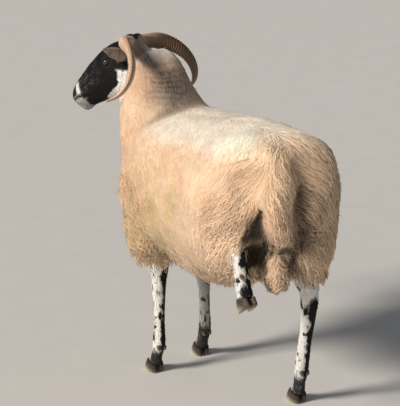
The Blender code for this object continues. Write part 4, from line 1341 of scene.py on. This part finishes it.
# Soft, nearly straight wool needs fewer rings than curled or crimped locks, which get four to a wave.
SOFT_COUNT = 16000
SOFT_RINGS = 6
CURLED_COUNT = 7000
CURLED_RINGS = 10
CRIMPED_COUNT = 6300
CRIMPED_RINGS = 14
WISP_COUNT = 1500
WISP_RINGS = 5
face_middle = skin_points[TRIANGLES].mean(axis=1)
face_node = np.array(FLESH)[skin_owner[TRIANGLES[:, 0]]]
is_body = np.isin(face_node, ("trunk", "neck", "head"))
curled_share = np.where(is_body, ramp(curled(face_middle), 0.12, 0.80), 1.0)
crimped_share = curled_share * ramp(face_middle[:, 0], -0.16, -0.22)
woolly_face = (FACE_WOOL > 0.42) * (1 - 0.97 * (fold_shade(face_middle) > 0.45))


def grow_wool(name, roots, style, rings):
    piece = grow(name, roots, {**style, **WOOL_COMMON}, WOOL, "fleece", "trunk", rings)
    # Light passes through soft wool, so its strands don't shade each other.
    piece.visible_shadow = False


def grow_fleece(prefix, weight, count, rings, seed, cuts):
    """Wool over the faces of the given weight, cut into pieces by the rules in turn."""
    roots = scatter(weight * woolly_face, count, seed)
    style = wool_style(roots)
    left = np.ones(len(roots["root"]), bool)
    for name, rule in cuts:
        chosen = rule(roots) & left
        left &= ~chosen
        if chosen.any():
            grow_wool(f"{prefix}_{name}", subset(roots, chosen), subset(style, chosen), rings)


def grow_wisps():
    """Single wisps stand out of the coat and make its outline soft."""
    roots = scatter(woolly_face, WISP_COUNT, 24)
    count = len(roots["root"])
    style = wool_style(roots)
    style["height"] *= roots["rng"].uniform(1.25, 2.0, count)
    style["turn"] += roots["rng"].normal(0, 0.45, count)
    style["length"] *= 0.60
    style["width"] *= 0.42
    style["wave"] = style["wave"] * 0.6 + 0.0012
    style["turns"] = style["turns"] * 0.4 + 0.6
    style["lift"] = np.full(count, 1.5)
    style["hang"] *= 0.4
    grow_wool("wool_wisps", roots, style, WISP_RINGS)


def beyond(column, value):
    return lambda roots: roots["root"][:, column] > value


def everywhere(roots):
    return np.ones(len(roots["root"]), bool)


def on_left(roots):
    return roots["root"][:, 1] > spine_y(roots["root"][:, 0])


grow_fleece("wool_soft", 1 - curled_share, SOFT_COUNT, SOFT_RINGS, 21, [
    ("neck", lambda roots: by_owner(roots, "neck", "head")),
    ("back", lambda roots: roots["normal"][:, 2] > 0.60),
    ("left", on_left),
    ("right", everywhere),
])
grow_fleece("wool_curled", curled_share - crimped_share, CURLED_COUNT, CURLED_RINGS, 22, [
    ("fore_legs", lambda roots: by_owner(roots, "leg_fore_left_upper", "leg_fore_right_upper")),
    ("chest", beyond(0, 0.08)),
    ("belly", everywhere),
])
grow_fleece("wool_crimped", crimped_share, CRIMPED_COUNT, CRIMPED_RINGS, 23, [
    ("tail", lambda roots: by_owner(roots, "tail", "scrotum")),
    ("thigh_left", lambda roots: on_left(roots) & (roots["root"][:, 2] < 0.60)),
    ("thigh_right", lambda roots: roots["root"][:, 2] < 0.60),
    ("rump", everywhere),
])
grow_wisps()


# ================================================================ short hair
FACE_COUNT = 5800
EAR_COUNT = 2000
LEG_COUNT = 6200
HAIR_RINGS = 4


def hair_style(roots, length, width, height, stand=1.0):
    rng = roots["rng"]
    count = len(roots["root"])
    return {
        "flow": hair_flow,
        "length": length * rng.uniform(0.7, 1.3, count),
        "turn": rng.normal(0, 0.25, count),
        "hang": np.zeros(count),
        "height": height * rng.uniform(0.6, 1.4, count) * stand,
        "lift": np.full(count, 1.4),
        "sink": 0.0004,
        "turns": np.full(count, 0.5),
        "phase": rng.uniform(0, 2 * math.pi, count),
        "wave": np.full(count, 0.0002),
        "pull": np.zeros((count, 3)),
        "width": width * rng.uniform(0.75, 1.25, count),
        "roll": rng.uniform(0, 2 * math.pi, count),
        "flat": 0.45,
        "softness": 0.60,
        # A little painted shade towards the roots.
        "root_shade": np.full((count, 1), 0.95),
        "tone": np.clip(rng.normal(1.0, 0.14, count), 0.6, 1.4),
    }


face_along, face_out, _ = skull_coordinates(face_middle)
eye_gap = np.minimum(*(np.linalg.norm(face_middle - eye, axis=1) for eye in EYES.values()))
is_ear = FACE_EAR >= 0.5
is_short = ~is_ear & (FACE_WOOL < 0.55)
is_head = face_node == "head"
is_nose_pad = (face_along > 0.243) & (np.abs(face_out) < 0.014)
is_lid = eye_gap <= 0.0175
head_weight = (is_short & is_head & ~is_lid & ~is_nose_pad) * 1.0
ear_weight = is_ear * 1.0
leg_weight = (is_short & ~is_head) * 1.0

head_roots = scatter(head_weight, FACE_COUNT, 31)
head_along = skull_coordinates(head_roots["root"])[0]
head_length = 0.0085 - 0.0035 * ramp(head_along, 0.08, 0.2)
head_style = hair_style(head_roots, head_length, 0.00085, 0.0022, 1 - 0.45 * ramp(head_along, 0.10, 0.20))
grow("hair_face", head_roots, head_style, HAIR, "face", "head", HAIR_RINGS)
ear_roots = scatter(ear_weight, EAR_COUNT, 32)
grow("hair_ears", ear_roots, hair_style(ear_roots, 0.0070, 0.00060, 0.0014), HAIR, "ear", "ear", HAIR_RINGS)
leg_roots = scatter(leg_weight, LEG_COUNT, 33)
leg_style = hair_style(leg_roots, 0.0105, 0.00085, 0.0018)
grow("hair_legs", leg_roots, leg_style, HAIR, "leg_hair", "legs", HAIR_RINGS)


# ================================================================ horns
HORN_NEAR = np.array((0.680, 0.470, 0.330))
HORN_ROOT = np.array((0.720, 0.510, 0.345))
# The far horn is browner and darker than the near one: partly its own colour, partly painted shade.
HORN_FAR_SHADED = np.array((0.225, 0.130, 0.075))
HORN_DARK = np.array((0.085, 0.052, 0.030))
# For each horn: how much stouter than its solid it is, its colour, its root's colour, how high its ridges
# are and how dark the valleys between them.
HORN_LOOKS = {
    "left": (0.0, HORN_NEAR, HORN_ROOT, 1.0, 0.30),
    "right": (0.22, HORN_FAR_SHADED, HORN_NEAR * 0.8, 1.5, 0.90),
}


def make_horn(label, side):
    stouter, plain, root_colour, ridged, valley_dark = HORN_LOOKS[label]
    centres, half_width, half_depth = horn_path(side)
    place = np.linspace(0, 1, len(centres))
    stout = 1 + stouter * ramp(place, 0.08, 0.25) * ramp(place, 1.0, 0.6)
    half_width = half_width * stout
    half_depth = half_depth * stout
    tangents = unit(np.gradient(centres, axis=0))
    across = unit(HEADING - (tangents @ HEADING)[:, None] * tangents)
    rise = np.cross(tangents, across)
    travel = np.concatenate([[0], np.cumsum(np.linalg.norm(np.diff(centres, axis=0), axis=1))])
    total = travel[-1]
    angles = np.arange(HORN_SIDES) * 2 * math.pi / HORN_SIDES
    share = travel / total
    # Growth ridges, close together at the root and fading towards the tip, broken up round the horn.
    wobble = noise(np.c_[travel * 60, np.zeros((len(travel), 2))], 1.0, side * 3.0)
    step = HORN_RIDGE * (0.62 + 0.5 * share)
    order = np.cumsum(np.concatenate([[0], np.diff(travel)]) / step)
    rings = []
    tints = []
    for theta in angles:
        sway = 0.35 * math.sin(theta + 0.6) + 0.15 * math.sin(3 * theta)
        wave = 0.5 + 0.5 * np.cos(2 * math.pi * (order + sway + 0.35 * wobble))
        ridge = wave ** 1.6 * ramp(share, 1.0, 0.55)
        fine = 0.5 + 0.5 * np.cos(2 * math.pi * (order * 4.0 + 2 * sway))
        swell = HORN_RIDGE_HEIGHT * ridged * (ridge - 0.6) + 0.00022 * fine * ramp(share, 1.0, 0.7)
        # A keel along the outer rear edge.
        keel = 0.0013 * math.exp(-((math.cos(theta + 2.5 * side) - 1) / 0.10) ** 2)
        wide = across * ((half_width + swell + keel) * math.cos(theta))[:, None]
        deep = rise * ((half_depth + swell + keel) * math.sin(theta))[:, None]
        rings.append(centres + wide + deep)
        base = np.tile(plain, (len(share), 1))
        base = blend_colour(base, root_colour, ramp(share, 0.35, 0.0) * 0.8)
        valley = ramp(wave, 0.50, 0.05) * ramp(share, 1.0, 0.6)
        base = blend_colour(base, HORN_DARK, valley * valley_dark)
        edge = math.exp(-((math.cos(theta + 2.5 * side) - 1) / 0.05) ** 2)
        base = blend_colour(base, HORN_DARK, 0.75 * edge * ramp(share, 0.12, 0.30))
        streak = noise(np.c_[np.full(len(share), theta * 4), travel * 12, np.zeros(len(share))], 1.0, 4.0)
        tints.append(base * (1 + 0.14 * streak)[:, None])
    points = np.stack(rings, axis=1).reshape(-1, 3)
    colours = np.stack(tints, axis=1).reshape(-1, 3)
    cap = centres[-1] + tangents[-1] * half_width[-1] * 0.9
    faces = tube_faces(len(centres), HORN_SIDES, closed=False)
    last = (len(centres) - 1) * HORN_SIDES
    tip = len(points)
    faces += [(last + i, last + (i + 1) % HORN_SIDES, tip) for i in range(HORN_SIDES)]
    faces.append(tuple(range(HORN_SIDES))[::-1])
    root = centres[0] - tangents[0] * 0.004
    points = np.vstack([points, cap])
    colours = np.vstack([colours, colours[-1]])
    points[:HORN_SIDES] += (root - centres[0]) * 0.5
    obj = mesh_object(f"horn_sheath_{label}", points, faces)
    smooth_shaded(obj)
    paint(obj.data, colours)
    obj.data.materials.append(KERATIN)
    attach(obj, "root")
    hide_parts(f"horn_{label}")


for horn_label, horn_side in SIDES:
    make_horn(horn_label, horn_side)


# ================================================================ eyes
IRIS = np.array((0.050, 0.024, 0.012))
IRIS_RIM = np.array((0.030, 0.016, 0.008))
PUPIL = np.array((0.004, 0.004, 0.006))
SCLERA = np.array((0.090, 0.045, 0.035))


def make_eye(label, side):
    made = bmesh.new()
    bmesh.ops.create_uvsphere(made, u_segments=48, v_segments=40, radius=1.0)
    mesh = bpy.data.meshes.new(f"eyeball_{label}")
    made.to_mesh(mesh)
    made.free()
    local = mesh_points(mesh)
    # Local Z looks out of the head, local X runs along the slit.
    gaze = unit(HEAD_LEFT * side + SKULL_AXIS * 0.16)
    slit = unit(SKULL_AXIS - gaze * (SKULL_AXIS @ gaze))
    over = np.cross(gaze, slit)
    side_reach = np.hypot(local[:, 0], local[:, 1])
    front = local[:, 2] > 0
    bulge = 0.09 * np.exp(-(side_reach / 0.52) ** 4) * front
    radius = EYE_RADIUS * (1 + bulge)
    turned = (local[:, :1] * slit + local[:, 1:2] * over + local[:, 2:] * gaze) * radius[:, None]
    place_points(mesh, EYES[label] + turned)
    iris = front & (side_reach < 0.72)
    slot = front & (np.abs(local[:, 1]) < 0.17) & (np.abs(local[:, 0]) < 0.46)
    colour = np.tile(SCLERA, (len(local), 1))
    colour[iris] = IRIS * (0.8 + 0.4 * np.cos(np.arctan2(local[iris, 1], local[iris, 0]) * 22)[:, None] ** 2)
    colour[iris & (side_reach > 0.60)] = IRIS_RIM
    colour[slot] = PUPIL
    paint(mesh, colour, 0.0, 1.0)
    obj = new_object(f"eyeball_{label}", mesh)
    smooth_shaded(obj)
    obj.data.materials.append(EYE)
    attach(obj, "root")
    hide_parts(f"eye_{label}")


for eye_label, eye_side in SIDES:
    make_eye(eye_label, eye_side)


# ================================================================ hooves
HOOF_DARK = np.array((0.050, 0.036, 0.028))
HOOF_TAN = np.array((0.330, 0.270, 0.170))
HOOF_PALE = np.array((0.520, 0.470, 0.340))


def foot_heading(node):
    limb = node.split("_", 1)[1].rsplit("_", 1)[0]
    claws = middle_of(f"hoof_{limb}_left") + middle_of(f"hoof_{limb}_right")
    spurs = middle_of(f"dewclaw_{limb}_left") + middle_of(f"dewclaw_{limb}_right")
    return unit(claws - spurs)


def make_hoof(node):
    is_hoof = node.startswith("hoof")
    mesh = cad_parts[node].data.copy()
    made = bmesh.new()
    made.from_mesh(mesh)
    bmesh.ops.remove_doubles(made, verts=made.verts, dist=0.00002)
    sharp = made.edges.layers.float.new("crease_edge")
    for edge in made.edges:
        if len(edge.link_faces) == 2 and edge.calc_face_angle(0) > math.radians(52):
            edge[sharp] = 0.8
    made.to_mesh(mesh)
    made.free()
    obj = new_object(node.replace("hoof", "claw"), mesh)
    smoother = obj.modifiers.new("Smooth", "SUBSURF")
    smoother.subdivision_type = "CATMULL_CLARK"
    smoother.levels = 3 if is_hoof else 2
    smoother.render_levels = smoother.levels
    apply_modifiers(obj)
    mesh = obj.data
    points = mesh_points(mesh)
    low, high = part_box(node)
    points[:, 2] = np.where(points[:, 2] < low.z + 0.0006, low.z, points[:, 2])
    share = (points[:, 2] - low.z) / (high.z - low.z)
    normals = mesh_normals(mesh)
    rings = np.cos(share * 2 * math.pi * 7 + 1.5 * noise(points, 0.012, 1.0))
    wall = ramp(share, 0.05, 0.15) * ramp(share, 0.98, 0.85) * is_hoof
    place_points(mesh, points + normals * (0.00022 * rings * wall)[:, None])
    middle = points.mean(axis=0)
    toe = ramp((points - middle) @ foot_heading(node), -0.012, 0.022)
    colour = blend_colour(np.tile(HOOF_DARK, (len(points), 1)), HOOF_TAN, toe * ramp(share, 0.95, 0.35))
    colour = blend_colour(colour, HOOF_PALE, toe * ramp(share, 0.55, 0.05) * 0.9)
    colour *= (1 + 0.22 * rings * wall + 0.15 * rough_noise(points, 0.007, 2.0))[:, None]
    paint(mesh, colour)
    smooth_shaded(obj)
    mesh.materials.clear()
    mesh.materials.append(HOOF)
    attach(obj, "root")
    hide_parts(node)


for hoof_node in sorted(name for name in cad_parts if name.startswith(("hoof_", "dewclaw_"))):
    make_hoof(hoof_node)


# ================================================================ floor, light and camera
CAMERA_AZIMUTH = 238.0
CAMERA_RISE = 15.0
CAMERA_DISTANCE = 3.4310
CAMERA_LENS = 109.5
CAMERA_RIGHT = -0.0293
CAMERA_UP = 0.0368
FLOOR = 40.0
FLOOR_COLOUR = (0.70, 0.69, 0.67, 1.0)
# Each light: how far round from the camera, how high and how soft, in degrees, its power and its colour.
KEY_LIGHT = (-61.0, 34.0, 14.0, 3.30, (1.0, 0.925, 0.83))
FILL_LIGHT = (-20.0, 15.0, 60.0, 0.34, (1.0, 0.96, 0.90))
SKY_COLOUR = (0.84, 0.90, 1.0, 1.0)
SKY_STRENGTH = 0.16


def make_floor():
    count = 40
    spots = np.linspace(-FLOOR, FLOOR, count)
    grid = np.array([(a, b, -0.0006) for a in spots for b in spots])
    faces = [(i * count + j, (i + 1) * count + j, (i + 1) * count + j + 1, i * count + j + 1)
             for i in range(count - 1) for j in range(count - 1)]
    floor = mesh_object("floor", grid, faces)
    made, tree, shader = new_material("pale_floor", 0.85)
    plain = tree.nodes.new("ShaderNodeRGB")
    plain.outputs[0].default_value = FLOOR_COLOUR
    tree.links.new(tinted(tree, plain.outputs[0], 0.02, 6.0), shader.inputs["Base Color"])
    floor.data.materials.append(made)


def from_above(azimuth, elevation):
    turn = math.radians(azimuth)
    rise = math.radians(elevation)
    return Vector((math.sin(turn) * math.cos(rise), -math.cos(turn) * math.cos(rise), math.sin(rise)))


def soft_light(name, round_from_camera, elevation, spread, power, colour):
    lamp = bpy.data.lights.new(name, "SUN")
    lamp.angle = math.radians(spread)
    lamp.energy = power
    lamp.color = colour
    obj = new_object(name, lamp)
    toward = from_above(CAMERA_AZIMUTH + round_from_camera, elevation)
    obj.rotation_euler = toward.to_track_quat("Z", "Y").to_euler()


make_floor()
soft_light("key", *KEY_LIGHT)
soft_light("fill", *FILL_LIGHT)

world = bpy.data.worlds.new("studio")
bpy.context.scene.world = world
world.use_nodes = True
world.node_tree.nodes["Background"].inputs["Color"].default_value = SKY_COLOUR
world.node_tree.nodes["Background"].inputs["Strength"].default_value = SKY_STRENGTH
bpy.context.scene.view_settings.view_transform = "Standard"

camera_back = from_above(CAMERA_AZIMUTH, CAMERA_RISE)
camera_turn = math.radians(CAMERA_AZIMUTH)
camera_right = Vector((math.cos(camera_turn), math.sin(camera_turn), 0.0))
camera_up = camera_back.cross(camera_right)
camera_data = bpy.data.cameras.new("camera")
camera_data.lens = CAMERA_LENS
camera_data.sensor_width = 36.0
camera = new_object("camera", camera_data)
middle = (CAD_BOUNDS[0] + CAD_BOUNDS[1]) / 2
camera.location = middle + camera_back * CAMERA_DISTANCE + camera_right * CAMERA_RIGHT + camera_up * CAMERA_UP
camera.rotation_euler = camera_back.to_track_quat("Z", "Y").to_euler()
bpy.context.scene.camera = camera
